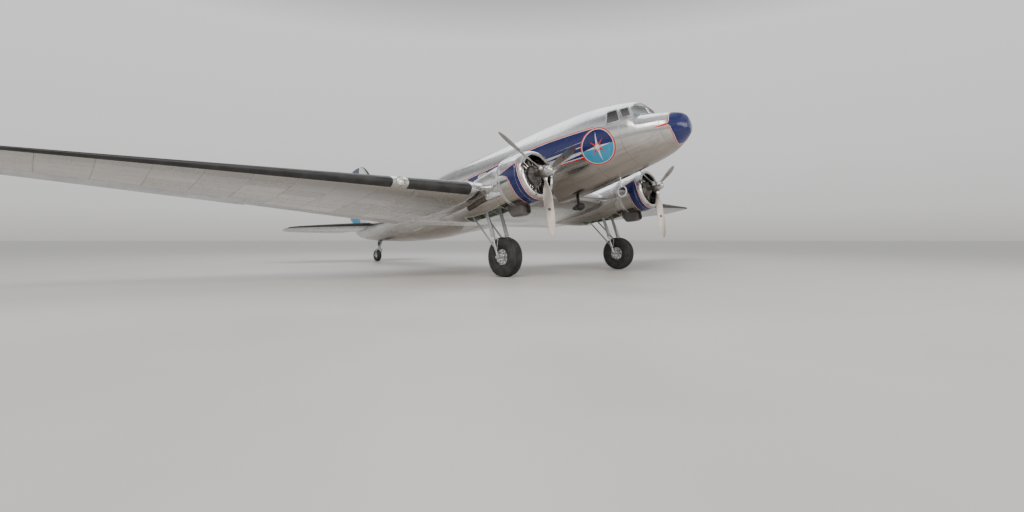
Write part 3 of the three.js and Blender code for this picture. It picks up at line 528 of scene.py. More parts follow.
def around(graph, centre_x, centre_z, radius):
    """The length round a body of about this radius."""
    return (graph.z - centre_z).math("ARCTAN2", graph.span - centre_x) * radius


def wing_share(graph):
    """How far back along the wing's chord a place lies."""
    lead = (graph.span - OUTER_START).math("MAXIMUM", 0) * SWEEP + WING_LEAD[0]
    return (graph.y - lead) / (lead * -1 + WING_TRAIL)


def skin_metal(graph):
    return sheet_metal(graph, (graph.y - 0.488, 1.016), (around(graph, 0, 0, 1.25) + 0.2, 0.49))


def wing_metal(graph):
    return sheet_metal(graph, (graph.span + 0.1, 0.914), (wing_share(graph) * 4.3, 0.62), 0.2, 0.45)


def nacelle_metal(graph):
    return sheet_metal(graph, (graph.y + 0.06, 0.72), (around(graph, ENGINE_X, ENGINE_Z, 0.65), 0.51))


def tail_metal(graph):
    return sheet_metal(graph, (graph.span + graph.z, 0.76), (graph.span * -0.25 + graph.y, 0.62), 0.22, 0.4)


def two_tone(graph, start, end, patches, grain, bump, rough, edges=(0.3, 0.7), metallic=0, **shader):
    """Patches that run from one colour to another under a fine grain.

    patches and grain are a noise's scale and detail, bump its depth and strength, rough the roughness
    at both ends, and edges where between 0 and 1 the patches begin and end.
    """
    stain = graph.noise(*patches)
    graph.bump(graph.noise(*grain), *bump)
    return graph.set(Base_Color=graph.mix(stain.spread(*edges), start, end),
                     Roughness=stain.spread(0.3, 0.7, *rough), Metallic=metallic, **shader)


def painted(graph, colour, rough=0.24, sheen=0.35, worn=0.02):
    """Gloss paint with faded patches and a faint orange-peel surface."""
    faded = tuple(c + (0.4 - c) * worn for c in colour)
    return two_tone(graph, dimmed(colour), faded, (2.2, 5), (90, 2), (0.0008, 0.25),
                    (rough * 0.8, rough * 1.3), (0.25, 0.8),
                    Coat_Weight=sheen, Coat_Roughness=0.08, Specular_IOR_Level=0.35)


def worn_metal(graph, light, dark, rough=0.4, metallic=1):
    """Steel or castings with stains."""
    return two_tone(graph, dark, light, (14, 5), (112, 3), (0.0015, 0.5), (rough * 1.3, rough * 0.7),
                    (0.32, 0.68), metallic)


def fabric(graph, colour, metallic, up):
    """Doped fabric over ribs, with tapes along them."""
    pitch = 0.3
    ribs = (graph.z if up else graph.span) / pitch
    tape = ribs.near_line(pitch, 0.03)
    patches = graph.noise(2, 4)
    mixed = graph.mix(patches.spread(0.3, 0.75), colour, dimmed(colour))
    mixed = graph.mix(tape * 0.35, mixed, dimmed(colour))
    graph.bump(graph.noise(70, 2) * 0.03 - ribs.math("PINGPONG", 0.5) * 1.2 + tape * 0.15, 0.006, 0.6)
    return graph.set(Base_Color=mixed, Metallic=metallic, Roughness=patches.spread(0.3, 0.7, 0.34, 0.46))


def boot_rubber(graph):
    dust = graph.noise(3, 5)
    tubes = (wing_share(graph) / 0.013).near_line(0.05, 0.006)
    graph.bump(tubes * -0.6 + graph.noise(150, 2), 0.0015, 0.6)
    return graph.set(Base_Color=graph.mix(dust.spread(0.35, 0.75), grey(0.012), grey(0.045)),
                     Roughness=dust.spread(0.3, 0.7, 0.38, 0.6))


def glass(graph, tint, rough=0.05, metallic=0, heights=None):
    """Opaque glass. Between two heights, if given, painted light grades it: a painted shade darkens it toward
    the top as under its upper frame, and the lower part stays light as a painted reflection.
    """
    film = graph.noise(3, 4)
    shade = film.spread(0.3, 0.7)
    # Painted shade toward the top and painted reflection below, between the two heights
    if heights:
        shade = (film * 0.5 + graph.z.spread(*heights, 0, 0.75)).spread(0.25, 0.95)
    colour = graph.mix(shade, tint, dimmed(tint, 0.22 if heights else 0.7))
    return graph.set(Base_Color=colour, Roughness=film.spread(0.3, 0.7, rough, rough * 2.5),
                     Metallic=metallic, Specular_IOR_Level=0.8, Coat_Weight=0.9, Coat_Roughness=0.03)


def lamp_glass(graph):
    graph.bump((graph.span * 60).math("PINGPONG", 1), 0.004, 0.5)
    film = graph.noise(12, 3).spread(0.3, 0.7)
    return graph.set(Base_Color=graph.mix(film, (0.92, 0.9, 0.82), (0.78, 0.76, 0.68)),
                     Metallic=0.55, Roughness=0.09, Coat_Weight=1)


def blade_metal(graph):
    """Brushed metal with fine scratches across the blade and faint stains."""
    light, dark = (0.34, 0.305, 0.275), (0.27, 0.24, 0.215)
    scratch = graph.noise(14, 4, (1, 1, 22))
    colour = graph.mix(graph.noise(3, 5).spread(0.25, 0.8), light, dark)
    colour = graph.mix(scratch.spread(0.35, 0.8, 0, 0.3), colour, dark)
    graph.bump(scratch, 0.0006, 0.3)
    return graph.set(Base_Color=colour, Metallic=1, Roughness=scratch.spread(0.3, 0.7, 0.3, 0.42))


def exhaust_metal(graph):
    heat, scale = graph.noise(4, 4), graph.noise(40, 4)
    graph.bump(scale, 0.002, 0.4)
    return graph.set(Base_Color=graph.mix(heat.spread(0.3, 0.7), (0.085, 0.062, 0.048), (0.16, 0.145, 0.13)),
                     Metallic=0.9, Roughness=scale.spread(0.3, 0.7, 0.38, 0.6))


def mesh_screen(graph):
    columns, rows = ((value * 60).near_line(1 / 60, 0.004) for value in (graph.span, graph.z))
    grid = columns.math("MAXIMUM", rows)
    graph.bump(grid, 0.004, 0.8)
    # The cells between the wires are painted near black: painted shade for the depth of the core
    return graph.set(Base_Color=graph.mix(grid, grey(0.02), (0.35, 0.33, 0.28)), Metallic=0.8, Roughness=0.45)


# Finishes: a maker and its values. A word stands for a colour setting.
FINISHES = {
    "skin": (skin_metal,),
    "wing": (wing_metal,),
    "nacelle": (nacelle_metal,),
    "tail": (tail_metal,),
    "formed": (two_tone, (0.78, 0.79, 0.8), grey(0.62), (6, 4), (60, 3), (0.0015, 0.3), (0.16, 0.32),
               (0.3, 0.7), 1),
    "band": (painted, "band"),
    "sky": (painted, "sky"),
    "red": (painted, "red"),
    "white": (painted, "white", 0.24, 0.35, 0.05),
    "grey": (painted, (0.4, 0.42, 0.43), 0.36, 0.3),
    "green": (painted, (0.2, 0.27, 0.16), 0.5, 0),
    "cooler": (painted, (0.12, 0.115, 0.11), 0.34, 0.4),
    "rudder": (fabric, "sky", 0, True),
    "silver_fabric": (fabric, (0.66, 0.67, 0.68), 0.75, False),
    "glass": (glass, (0.13, 0.13, 0.125), 0.05, 0.35, (0.3, 0.6)),
    "windshield": (glass, (0.26, 0.33, 0.34), 0.05, 0.4, (0.4, 0.62)),
    "cabin_glass": (glass, (0.56, 0.66, 0.5), 0.1),
    "red_lamp": (glass, (0.65, 0.03, 0.02)),
    "green_lamp": (glass, (0.02, 0.42, 0.12)),
    "lamp": (lamp_glass,),
    "rubber": (two_tone, grey(0.018), grey(0.06), (5, 5), (120, 3), (0.0012, 0.5), (0.62, 0.82),
               (0.35, 0.75)),
    "boot": (boot_rubber,),
    "steel": (worn_metal, grey(0.72), (0.55, 0.54, 0.52), 0.2),
    "casting": (worn_metal, (0.2, 0.185, 0.17), (0.1, 0.09, 0.08), 0.42, 0.6),
    "cylinder": (worn_metal, (0.36, 0.33, 0.29), (0.14, 0.12, 0.1), 0.45),
    "dark": (worn_metal, grey(0.07), grey(0.025), 0.5, 0.5),
    "blade": (blade_metal,),
    "exhaust": (exhaust_metal,),
    "core": (mesh_screen,),
    "lining": (two_tone, (0.42, 0.44, 0.4), (0.33, 0.35, 0.32), (2, 4), (40, 3), (0.001, 0.4), (0.7, 0.7)),
}


def finish_of(key):
    """A material by its name, made when it is first wanted."""
    if key in bpy.data.materials:
        return bpy.data.materials[key]
    maker, *values = FINISHES[key]
    values = [tuple(getattr(settings().paint, v))[:3] if isinstance(v, str) else v for v in values]
    return maker(Graph(key), *values)
# Fuselage

def fuselage_points(ys, angles, lift=0):
    """Points on the skin. The angle runs from port over the top; lift is outward from the skin."""
    ys, angles = np.broadcast_arrays(ys, angles)
    half, top, bottom, waist = eased(FUSELAGE, ys)
    up = np.sin(angles)
    tall = np.where(up > 0, top - waist, waist - bottom)
    out_x, out_z = np.cos(angles) / half, up / tall
    lift = lift / np.hypot(out_x, out_z)
    return np.stack((half * np.cos(angles) + lift * out_x, ys, waist + tall * up + lift * out_z), -1)


def skin_angle(ys, zs, port=True):
    """The angle at which the skin lies at height z."""
    _, top, bottom, waist = eased(FUSELAGE, ys)
    angle = np.arcsin(np.clip((zs - waist) / np.where(zs > waist, top - waist, waist - bottom), -1, 1))
    return angle if port else pi - angle


def side_surface(port):
    """The fuselage side as a surface of y and z, for patches near the windows."""
    return lambda ys, zs, lift: fuselage_points(ys, skin_angle(ys, zs, port), lift)


def resampled(loop, step):
    """A closed outline with no side longer than step."""
    points = []
    for (x, y), (next_x, next_y) in zip(loop, [*loop[1:], loop[0]]):
        count = max(1, ceil(hypot(next_x - x, next_y - y) / step))
        points.extend((x + (next_x - x) * i / count, y + (next_y - y) * i / count) for i in range(count))
    return points


def inside(loop, spot):
    """Whether a point lies within an outline."""
    x, y = np.array(loop).T
    next_x, next_y = np.roll(x, -1), np.roll(y, -1)
    spans = (y > spot[1]) != (next_y > spot[1])
    rise = np.where(spans, next_y - y, 1)
    return bool(np.count_nonzero(spans & (spot[0] < (next_x - x) * (spot[1] - y) / rise + x)) % 2)


def patch(outline, surface, step, holes=(), lift=SKIN_LIFT, depth=0.006, within=()):
    """A thin closed shell on a surface, from outlines in the surface's own two directions.

    It fills the outline outside the holes and inside each outline of within.
    """
    loops = [resampled(loop, step) for loop in (outline, *within, *holes)]
    wanted = [True] * (1 + len(within)) + [False] * len(holes)
    points, edges = [], []
    for loop in loops:
        first, count = len(points), len(loop)
        edges.extend((first + i, first + (i + 1) % count) for i in range(count))
        points.extend(loop)
    border = np.array(points)
    spans = [arange(min(side), max(side), step) for side in zip(*loops[0])]
    for spot in np.stack(np.meshgrid(*spans), -1).reshape(-1, 2):
        if np.hypot(*(border - spot).T).min() > 0.6 * step:
            points.append(spot)
    flat, _, faces, *_ = delaunay_2d_cdt([Vector(p) for p in points], edges, [], 0, 1e-6)
    middles = [sum((flat[i] for i in face), Vector((0, 0))) / 3 for face in faces]
    faces = [face for face, middle in zip(faces, middles)
             if [inside(loop, middle) for loop in loops] == wanted]
    used = sorted({i for face in faces for i in face})
    place = {old: new for new, old in enumerate(used)}
    faces = [tuple(place[i] for i in face) for face in faces]
    outer, inner = (surface(*np.array([flat[i] for i in used]).T, height) for height in (lift, lift - depth))
    sides = [side for face in faces for side in zip(face, face[1:] + face[:1])]
    shared = Counter(frozenset(side) for side in sides)
    count = len(used)
    rim = [(b, a, a + count, b + count) for a, b in sides if shared[frozenset((a, b))] == 1]
    back = [tuple(i + count for i in face[::-1]) for face in faces]
    return np.vstack((outer, inner)), [*faces, *back, *rim]


def rounded_outline(y0, y1, z0, z1, radius, steps=5):
    corners = ((y1 - radius, z1 - radius), (y0 + radius, z1 - radius),
               (y0 + radius, z0 + radius), (y1 - radius, z0 + radius))
    return [spot for k, corner in enumerate(corners)
            for spot in polar(radius, linspace(k * pi / 2, (k + 1) * pi / 2, steps), corner)]


def grown_outline(loop, by):
    """An outline moved outward, for a loop that runs anticlockwise."""
    points = np.array(loop)
    ahead, behind = np.roll(points, -1, 0) - points, points - np.roll(points, 1, 0)
    out = sum(np.stack((d[:, 1], -d[:, 0]), 1) / np.hypot(*d.T)[:, None] for d in (ahead, behind))
    out /= np.maximum(np.hypot(*out.T), 0.5)[:, None]
    return [tuple(p) for p in points + out * by]


def ring_strip(loop, surface, inner, outer, profile):
    """A raised frame along an outline: profile rows are place from inner to outer (0 to 1) and lift."""
    loop = resampled(loop, 0.05)
    return framed([surface(*np.transpose(grown_outline(loop, inner + (outer - inner) * share)), lift)
                   for share, lift in profile])


def across(loop, x):
    """An outline of y and z, set square to x."""
    return [(x, y, z) for y, z in loop]


# Outlines of the seven cabin windows
WINDOWS = [rounded_outline(y - 0.21, y + 0.21, -0.038, 0.262, 0.06) for y in 5.06 + 1.012 * arange(7)]


def pane_ring(corners, by, height):
    """A cockpit pane's outline with softened corners, grown in its own plane and raised from it."""
    soften = 0.035
    corner, after, _, before = (Vector(c) for c in corners)
    along = (after - corner).normalized()
    out = along.cross(before - corner).normalized()
    up = out.cross(along)
    flat = [Vector(((Vector(c) - corner).dot(along), (Vector(c) - corner).dot(up))) for c in corners]
    loop = []
    for previous, here, following in zip([flat[-1], *flat], flat, [*flat[1:], flat[0]]):
        start, end = (here + (spot - here).normalized() * soften for spot in (previous, following))
        for t in linspace(0, 1, 4):
            loop.append(tuple((1 - t) ** 2 * start + 2 * t * (1 - t) * here + t * t * end))
    return [corner + along * u + up * v + out * height for u, v in grown_outline(loop, by)]


def pane_rings(corners, rows):
    return [pane_ring(corners, by, height) for by, height in rows]


def doorway_loop(by):
    front, rear, sill, head, _ = DOOR.values()
    return rounded_outline(front - by, rear + by, sill - by, head + by, 0.09 + by)


def fuselage_skin():
    """The skin with its cockpit panes, cabin windows and doorway let in."""
    stations = np.unique(np.concatenate((
        arange(NOSE_SEAM + 0.001, 1.4, 0.02), arange(1.4, 5, 0.08),
        arange(5, 9.8, 0.4), arange(9.8, 18, 0.12), arange(18, 18.91, 0.03))))
    cuts = [lofted(pane_rings(corners, ((0.006, -0.045), (0.006, 0.3)))) for _, corners in PANES]
    cuts += [lofted([across(loop, x) for x in (1.13, 1.4)]) for loop in WINDOWS]
    doorway = lofted([across(doorway_loop(0.006), x) for x in (-0.056, -1.5)])
    skin = lofted(fuselage_points(stations[:, None], full_turn(96)))
    return carved(skin, merged([side for cut in cuts for side in both_sides(cut)] + [doorway]))


def doorway_lining():
    """The hall behind the door: walls, floor and ceiling a hair inside the cut."""
    (outer, deep), (inner, inner_deep) = (
        (side_surface(False)(*np.transpose(doorway_loop(by)), -0.003), across(doorway_loop(by), -0.062))
        for by in (0.0075, 0.0035))
    return framed([outer, deep, inner_deep, inner])


def cabin_windows(port):
    """Frames and panes of the seven cabin windows on one side."""
    surface = side_surface(port)
    profile = ((0, -0.03), (0, 0.003), (0.2, 0.007), (0.8, 0.006), (1, 0.002), (1, -0.006))
    return {"formed": [ring_strip(loop, surface, -0.012, 0.03, profile) for loop in WINDOWS],
            "cabin_glass": [patch(grown_outline(loop, -0.008), surface, 0.08, lift=-0.014, depth=0.008)
                            for loop in WINDOWS]}


def cockpit_window(corners):
    """One flat pane with its raised frame, port side."""
    pane = lofted(pane_rings(corners, ((-0.006, -0.03), (-0.006, 0.003))))
    return pane, framed(pane_rings(corners, ((0.004, -0.044), (0.004, 0.008), (0, 0.0105), (-0.012, 0.0105),
                                             (-0.017, 0.005), (-0.017, -0.03))))


def window_surround(corners):
    """The skin's flange round a cockpit pane."""
    rows = ((0.006, -0.04), (0.006, 0.006), (0.01, 0.008), (0.022, 0.006), (0.027, -0.004), (0.027, -0.05))
    return framed(pane_rings(corners, rows))


# Livery: plain generic shapes in the colours of the photo

BAND_TOP = ((2.3, 0.3), (3.3, 0.36), (4.2, 0.395), (5.4, 0.385), (6.8, 0.335), (8.2, 0.29), (10, 0.282),
            (11.3, 0.272), (12.4, 0.235), (13.4, 0.195))
BAND_LOW = ((2.3, 0.03), (4.9, -0.025), (8.1, -0.068), (9.6, -0.085), (10.8, -0.085), (11.6, -0.045),
            (12.4, 0.04), (13.4, 0.185))
# Speed stripes under the band: top and bottom at the front, place of the tail, its height
SPEED_STRIPES = ((0.015, -0.112, 4.95, -0.068), (-0.127, -0.252, 4.3, -0.19), (-0.267, -0.4, 3.6, -0.375))
ROUNDEL_Y, ROUNDEL_Z, ROUNDEL_RADIUS = 2.24, -0.27, 0.5
# Border of the nose cap: angle from the side in degrees, place along the nose
CAP_BORDER = np.array([(-90, 0.375), (-60, 0.3), (-40, 0.272), (-14, 0.272), (-5, 0.3), (-1, 0.335),
                       (3, 0.31), (12, 0.283), (30, 0.29), (60, 0.335), (90, 0.375)])


def eased_line(points):
    """A smooth line through points that run back along y."""
    table = np.array(points)
    ys = np.append(arange(table[0, 0], table[-1, 0], 0.2), table[-1, 0])
    return list(zip(ys, eased(table, ys)[0]))


def edge_stripe(line, below, above):
    """A thin stripe beside a line, from two offsets in height."""
    return [*((y, z + above) for y, z in line), *((y, z + below) for y, z in line[::-1])]


def band_parts(port, holes, within=()):
    """The band with its white and red edge lines, as lists by paint."""
    top = eased_line(BAND_TOP)
    shapes = {"band": [*top, *eased_line(BAND_LOW)[::-1]], "white": edge_stripe(top, 0.004, 0.022),
              "red": edge_stripe(top, 0.026, 0.052)}
    return {paint: [patch(shape, side_surface(port), 0.07, holes, within=within)]
            for paint, shape in shapes.items()}


def side_livery(port):
    """Band, speed stripes and the pointed red tail of the nose cap, as lists by paint."""
    surface = side_surface(port)
    holes = [grown_outline(loop, 0.02) for loop in WINDOWS]
    kit = band_parts(port, holes if port else [*holes, doorway_loop(0.007)])
    for high, low, tail, height in SPEED_STRIPES:
        under = [(2.3, low), (tail - 0.8, low * 0.7 + height * 0.3), (tail, height)]
        blade = [(2.3, high), (tail - 0.9, high * 0.7 + height * 0.3), *under[::-1]]
        kit["band"].append(patch(blade, surface, 0.06))
    kit["white"].append(patch(edge_stripe(under, -0.022, -0.004), surface, 0.06))
    kit["red"].append(patch(edge_stripe(under, -0.052, -0.026), surface, 0.06))
    tail = [(0.325, -0.15), (0.45, -0.178), (0.645, -0.212), (0.45, -0.222), (0.325, -0.215)]
    kit["red"].append(patch(tail, surface, 0.03, lift=0.003))
    return kit


def disc_surface(port):
    """The skin round the roundel, as a surface of lengths along and up from its middle."""
    middle, girth = skin_angle(ROUNDEL_Y, ROUNDEL_Z, port), 1.06 if port else -1.06
    return lambda us, vs, lift: fuselage_points(ROUNDEL_Y + us, middle + vs / girth, lift)


def circle(radius, count=64):
    return polar(radius, full_turn(count))


def star(long, short, waist, turn=0):
    """A compass star with long and short points."""
    return [polar((long, waist, short, waist)[i % 4], [turn + pi / 2 + angle])[0]
            for i, angle in enumerate(full_turn(16))]


def roundel(port):
    """A compass star on a two-tone disc with a white and a red ring."""
    r = ROUNDEL_RADIUS
    layers = (
        ("band", polar(r, linspace(0, pi, 40)), (), 0.0075),
        ("sky", polar(r, linspace(pi, 2 * pi, 40)), (), 0.0075),
        ("white", circle(r + 0.02), (circle(r),), 0.0078),
        ("red", circle(r + 0.055), (circle(r + 0.022),), 0.0078),
        ("white", star(0.44, 0, 0.085), (), 0.0095),
        ("red", star(0.3, 0.12, 0.075, pi / 4), (), 0.0115),
        ("white", circle(0.075, 32), (), 0.0135),
    )
    kit = {"band": [], "sky": [], "white": [], "red": []}
    for paint, loop, holes, lift in layers:
        kit[paint].append(patch(loop, disc_surface(port), 0.05, holes, lift, 0.008))
    return kit


def nose_cap():
    """The nose cone: paint to a waved border, its two edge lines, then bare metal to the seam."""
    angles = full_turn(144)
    border = eased(CAP_BORDER, np.degrees(np.arcsin(np.clip(np.sin(angles), -1, 1))))[0]
    seam = np.full(144, NOSE_SEAM)
    bounds = {"band": (0 * border, border - 0.005, linspace(0, 1, 17) ** 2),
              "white": (border - 0.005, border + 0.005, linspace(0, 1, 3)),
              "red": (border + 0.005, border + 0.022, linspace(0, 1, 3)),
              "skin": (border + 0.022, seam, linspace(0, 1, 7))}
    return {paint: lofted([fuselage_points(low + (high - low) * share, angles) for share in shares],
                          (paint == "band", paint == "skin"))
            for paint, (low, high, shares) in bounds.items()}


# Pieces of the fuselage

def build_fuselage():
    surrounds = [side for _, corners in PANES for side in both_sides(window_surround(corners))]
    hall_end = lofted([across(doorway_loop(0.001), x) for x in (-0.058, -0.07)])
    piece("fuselage_skin", {"skin": fuselage_skin(), "formed": surrounds}, "fuselage", sharp=28)
    piece("doorway_lining", {"lining": doorway_lining(), "green": hall_end})
    piece("nose_cap", nose_cap(), "nose_cone", slot="blue_paint")


def build_livery():
    for side, sign in SIDES:
        piece(f"band_{side}", side_livery(sign > 0), slot="blue_paint")
        piece(f"roundel_{side}", roundel(sign > 0), slot="blue_paint")


def build_windows():
    for side, sign in SIDES:
        piece(f"cabin_windows_{side}", cabin_windows(sign > 0), slot="window_glass")
    for name, corners in PANES:
        pane, rim = cockpit_window(corners)
        tint = "windshield" if name == "windshield" else "glass"
        pair(name + "_pane_{}", {tint: pane, "formed": rim}, name + "_{}", slot="window_glass")


def door_handle(surface):
    plate = patch(rounded_outline(12.07, 12.2, -0.12, -0.04, 0.03), surface, 0.03, lift=0.004, depth=0.008)
    root = Vector(surface(12.16, -0.08, 0))
    bends = ((0, 0, 0), (-0.012, 0, 0), (-0.012, -0.03, 0), (-0.01, -0.1, 0.004))
    return [plate, swept([root + Vector(bend) for bend in bends], [0.009, 0.009, 0.009, 0.005])]


def build_door():
    """The curved door with rolled edges, its stretch of the band, its inner panel and its hinges."""
    surface, loop = side_surface(False), doorway_loop(0)
    y = DOOR["front"] - 0.012
    x = -interp(y, FUSELAGE[:, 0], FUSELAGE[:, 1]) - 0.016
    profile = ((0, -0.01), (0, 0.001), (0.3, 0.004), (0.8, 0.004), (1, 0), (1, -0.01))
    steel, brackets = door_handle(surface), []
    for z in (-0.33, 0.3):
        steel.append(rod((x, y, z - 0.045), (x, y, z + 0.045), 0.011))
        steel.append(block((x - 0.007, y, z - 0.04), (x + 0.03, y + 0.062, z + 0.04), 0.003))
        for low in (z - 0.0653, z + 0.0453):
            brackets.append(block((x - 0.01, y - 0.038, low), (x + 0.06, y + 0.005, low + 0.02), 0.003))
    thick = DOOR["thick"]
    kit = {"skin": patch(grown_outline(loop, -0.001), surface, 0.09, (), 0, thick),
           "formed": ring_strip(loop, surface, -0.03, -0.002, profile), "steel": steel,
           "lining": patch(grown_outline(loop, -0.05), surface, 0.12, (), 0.0005 - thick, 0.004),
           **band_parts(False, [], [grown_outline(loop, -0.031)])}
    piece("door_leaf", kit, "passenger_door", "passenger_door", sharp=28)
    piece("door_brackets", {"steel": brackets}, slot="engine_metal")


# Wings

def aerofoil(chord, thick, camber, until=1, steps=32):
    """An outline from the trailing edge over the top and back, cut off at a part of its chord."""
    s = until * (1 - np.cos(pi * arange(steps + 1) / (2 * steps)))
    half = 5 * thick * (0.2969 * np.sqrt(s) - 0.126 * s - 0.3516 * s ** 2 + 0.2843 * s ** 3 - 0.1015 * s ** 4)
    mid = np.where(s < 0.4, camber / 0.16 * (0.8 * s - s * s), camber / 0.36 * (0.2 + 0.8 * s - s * s))
    half = np.maximum(half, np.where(s > 0.5, 0.004 / chord, 0))
    top, low = np.stack((s, mid + half), 1) * chord, np.stack((s, mid - half), 1) * chord
    return np.concatenate((top[::-1], low[1:]))


def offset_outline(flat, grow):
    """A section moved outward, corner by corner, as its places along and across."""
    run = np.gradient(flat, axis=0)
    out = np.stack((run[:, 1], -run[:, 0]), 1)
    return (flat + grow * out / np.maximum(np.hypot(*out.T), 1e-9)[:, None]).T


def wing_place(x):
    """Leading edge, height, chord and thickness of the wing at x."""
    if x <= CENTRE_HALF_SPAN:
        return WING_LEAD[0], WING_LEAD[1], WING_CHORD, WING_THICK
    out = max(x - OUTER_START, 0)
    share, thick, shift = eased(OUTER_WING, OUTER_START + out)
    lead = WING_LEAD[0] + out * SWEEP
    return lead + shift, WING_LEAD[1] + out * DIHEDRAL, (WING_TRAIL - lead) * share - shift * 0.4, thick


def wing_ring(x, grow=0, at=None):
    lead, height, chord, thick = wing_place(x)
    along, up = offset_outline(aerofoil(chord, thick, WING_CAMBER), grow)
    c, s = cos(WING_INCIDENCE), sin(WING_INCIDENCE)
    return np.stack((np.full(len(up), x if at is None else at), lead + along * c + up * s,
                     height - along * s + up * c), 1)


def wing_heights(x, y):
    """Heights of the wing's top and underside at a place."""
    _, ys, zs = wing_ring(x).T
    nose = len(ys) // 2
    return interp(y, ys[nose::-1], zs[nose::-1]), interp(y, ys[nose:], zs[nose:])


def hinge_spot(joint, x):
    """Where a joint's axis crosses a place along the span, in the level frame."""
    start = FROM_ROW @ Vector(JOINTS[joint]["pos_m"])
    run = FROM_ROW.to_3x3() @ Vector(JOINTS[joint]["axis"])
    return start + run * ((x - start.x) / run.x)


def hinge_matrix(start, end, aft):
    x = (end - start).normalized()
    z = x.cross(aft).normalized()
    matrix = Matrix((x, z.cross(x), z)).transposed().to_4x4()
    matrix.translation = start
    return matrix


def rounded_nose(at, radius, steps):
    return [(at, *spot) for spot in polar(radius, linspace(pi / 2, 3 * pi / 2, steps))]


def control_surface(rows, ends=(True, True)):
    """A moving surface along its hinge, from rows of place, nose radius and chord."""
    edge = 0.004
    rings = []
    for at, radius, chord in rows:
        top = [(at, s * chord, (1 - s) * radius + s * edge) for s in linspace(0, 1, 9)[1:]]
        low = [(at, y, -z) for _, y, z in top]
        rings.append([*rounded_nose(at, radius, 14), *low, (at, chord + edge * 0.6, 0), *top[::-1]])
    return lofted(rings, ends)


def hinge_pins(start, end, reach, radius):
    """Pins at both ends of a surface, across its running gap."""
    return [rod((start - RUN_GAP + 0.001, 0, 0), (start + reach, 0, 0), radius),
            rod((end - reach, 0, 0), (end + RUN_GAP - 0.001, 0, 0), radius)]


def hollow(rows, reach):
    """The hollow that a surface turns in."""
    rings = []
    for k, (place, radius, _) in enumerate(rows):
        at = place + RUN_GAP * ((k == len(rows) - 1) - (k == 0))
        grown = radius + RUN_GAP
        rings.append([*rounded_nose(at, grown, 10), (at, reach, -grown * 1.5), (at, reach, grown * 1.5)])
    return lofted(rings)


def aileron_rows():
    """The aileron's two ends and the matrix of its hinge."""
    spots = [hinge_spot("aileron_turn_port", x) for x, _ in AILERON]
    halves = [-np.diff(wing_heights(x, spot.y))[0] / 2 - 0.003 for (x, _), spot in zip(AILERON, spots)]
    edge = Vector((AILERON[0][0], WING_TRAIL - 0.005, 0))
    edge.z = sum(wing_heights(edge.x, edge.y)) / 2
    length = (spots[1] - spots[0]).length
    rows = [(at, half, chord) for at, half, (_, chord) in zip((0, length), halves, AILERON)]
    return rows, hinge_matrix(*spots, edge - spots[0])


def flap_parts(name, from_x, to_x):
    """One split flap, its hinge and its hollow, port side."""
    start, end = (hinge_spot(f"{name}_turn_port", x) for x in (from_x, to_x))
    edge = Vector((from_x, WING_TRAIL - 0.005, wing_heights(from_x, WING_TRAIL - 0.005)[1] + 0.006))
    matrix, length, chord = hinge_matrix(start, end, edge - start), (end - start).length, FLAP_CHORD
    plate = ((0, -0.0055), (chord - 0.004, -0.0055), (chord, -0.003), (chord, 0.001),
             (chord - 0.004, 0.003), (0.01, 0.0195), (-0.001, 0.017))
    rib = ((0.03, 0.012), (0.03, 0.0245), (0.5, 0.0125), (0.56, 0.004))
    room = ((-0.012, -0.12), (chord + 0.05, -0.12), (chord + 0.05, 0.011), (-0.012, 0.034))
    skin = [bar(plate, linspace(0, length, 9))]
    skin += [bar(rib, (at - 0.004, at + 0.004)) for at in arange(0.15, length - 0.1, 0.3)]
    hinge = [rod((-RUN_GAP + 0.001, 0, 0), (length + RUN_GAP - 0.001, 0, 0), 0.006, 12)]
    hinge += [rod((at, 0, 0), (at + 0.05, 0, 0), 0.0085, 10) for at in arange(0.02, length - 0.06, 0.12)]
    return [moved(part, matrix) for part in
            (merged(skin), merged(hinge), bar(room, (-RUN_GAP, length + RUN_GAP)))]


def bar(section, places):
    """A bar along x with this section of y and z."""
    return lofted([across(section, x) for x in places])


def outer_wing_skin():
    stations = np.concatenate((arange(OUTER_START, 13.2, 0.25), 14.478 - 1.278 * (1 - rounding(22))))
    rows, matrix = aileron_rows()
    lead, height, *_ = wing_place(LAMP_X)
    lamp_hole = rod((LAMP_X, lead - 0.3, height + 0.006), (LAMP_X, lead + 0.16, height + 0.006), 0.122, 40)
    return carved(lofted([wing_ring(x) for x in stations]),
                  merged([moved(hollow(rows, 0.9), matrix), lamp_hole]), flap_parts(*FLAPS[1])[2])


def centre_wing_skin():
    skin = lofted([wing_ring(abs(x), at=x) for x in linspace(-CENTRE_HALF_SPAN, CENTRE_HALF_SPAN, 25)])
    return carved(skin, merged(both_sides(flap_parts(*FLAPS[0])[2])))


def root_fillet():
    """The fairing between the centre wing's top and the fuselage side, port side."""
    rings = []
    for t in linspace(0, 1, 60):
        y = 4.62 + 5.13 * t
        behind = max(0, (y - WING_TRAIL) / (9.75 - WING_TRAIL))
        top = wing_heights(1.5, min(y, WING_TRAIL - 0.01))[0] - behind * 0.02
        rise = (0.05 + 0.33 * sin(min(t * 1.35, 1) * pi / 2) ** 1.5) * (1 - behind) ** 0.6 + 0.004
        bottom = eased(FUSELAGE, y)[2]
        high, low = min(top + rise, -0.1), max(top - 0.004, bottom + 0.02)
        on_side = fuselage_points(y, skin_angle(y, high), 0.003)
        root = fuselage_points(y, skin_angle(y, max(top, bottom + 0.03)))[0]
        out = np.array((root + (0.1 + 0.34 * t) * (1 - behind) + 0.004, y, low + 0.006))
        bend = np.array((root + 0.012, y, top + 0.008))
        arc = [(1 - s) ** 2 * on_side + 2 * s * (1 - s) * bend + s * s * out for s in linspace(0, 1, 16)]
        under = ((root - 0.1, y, low - 0.03), (on_side[0] - 0.08, y, high - 0.02))
        rings.append([*arc, out - (0, 0, 0.012), *under])
    return lofted(rings)


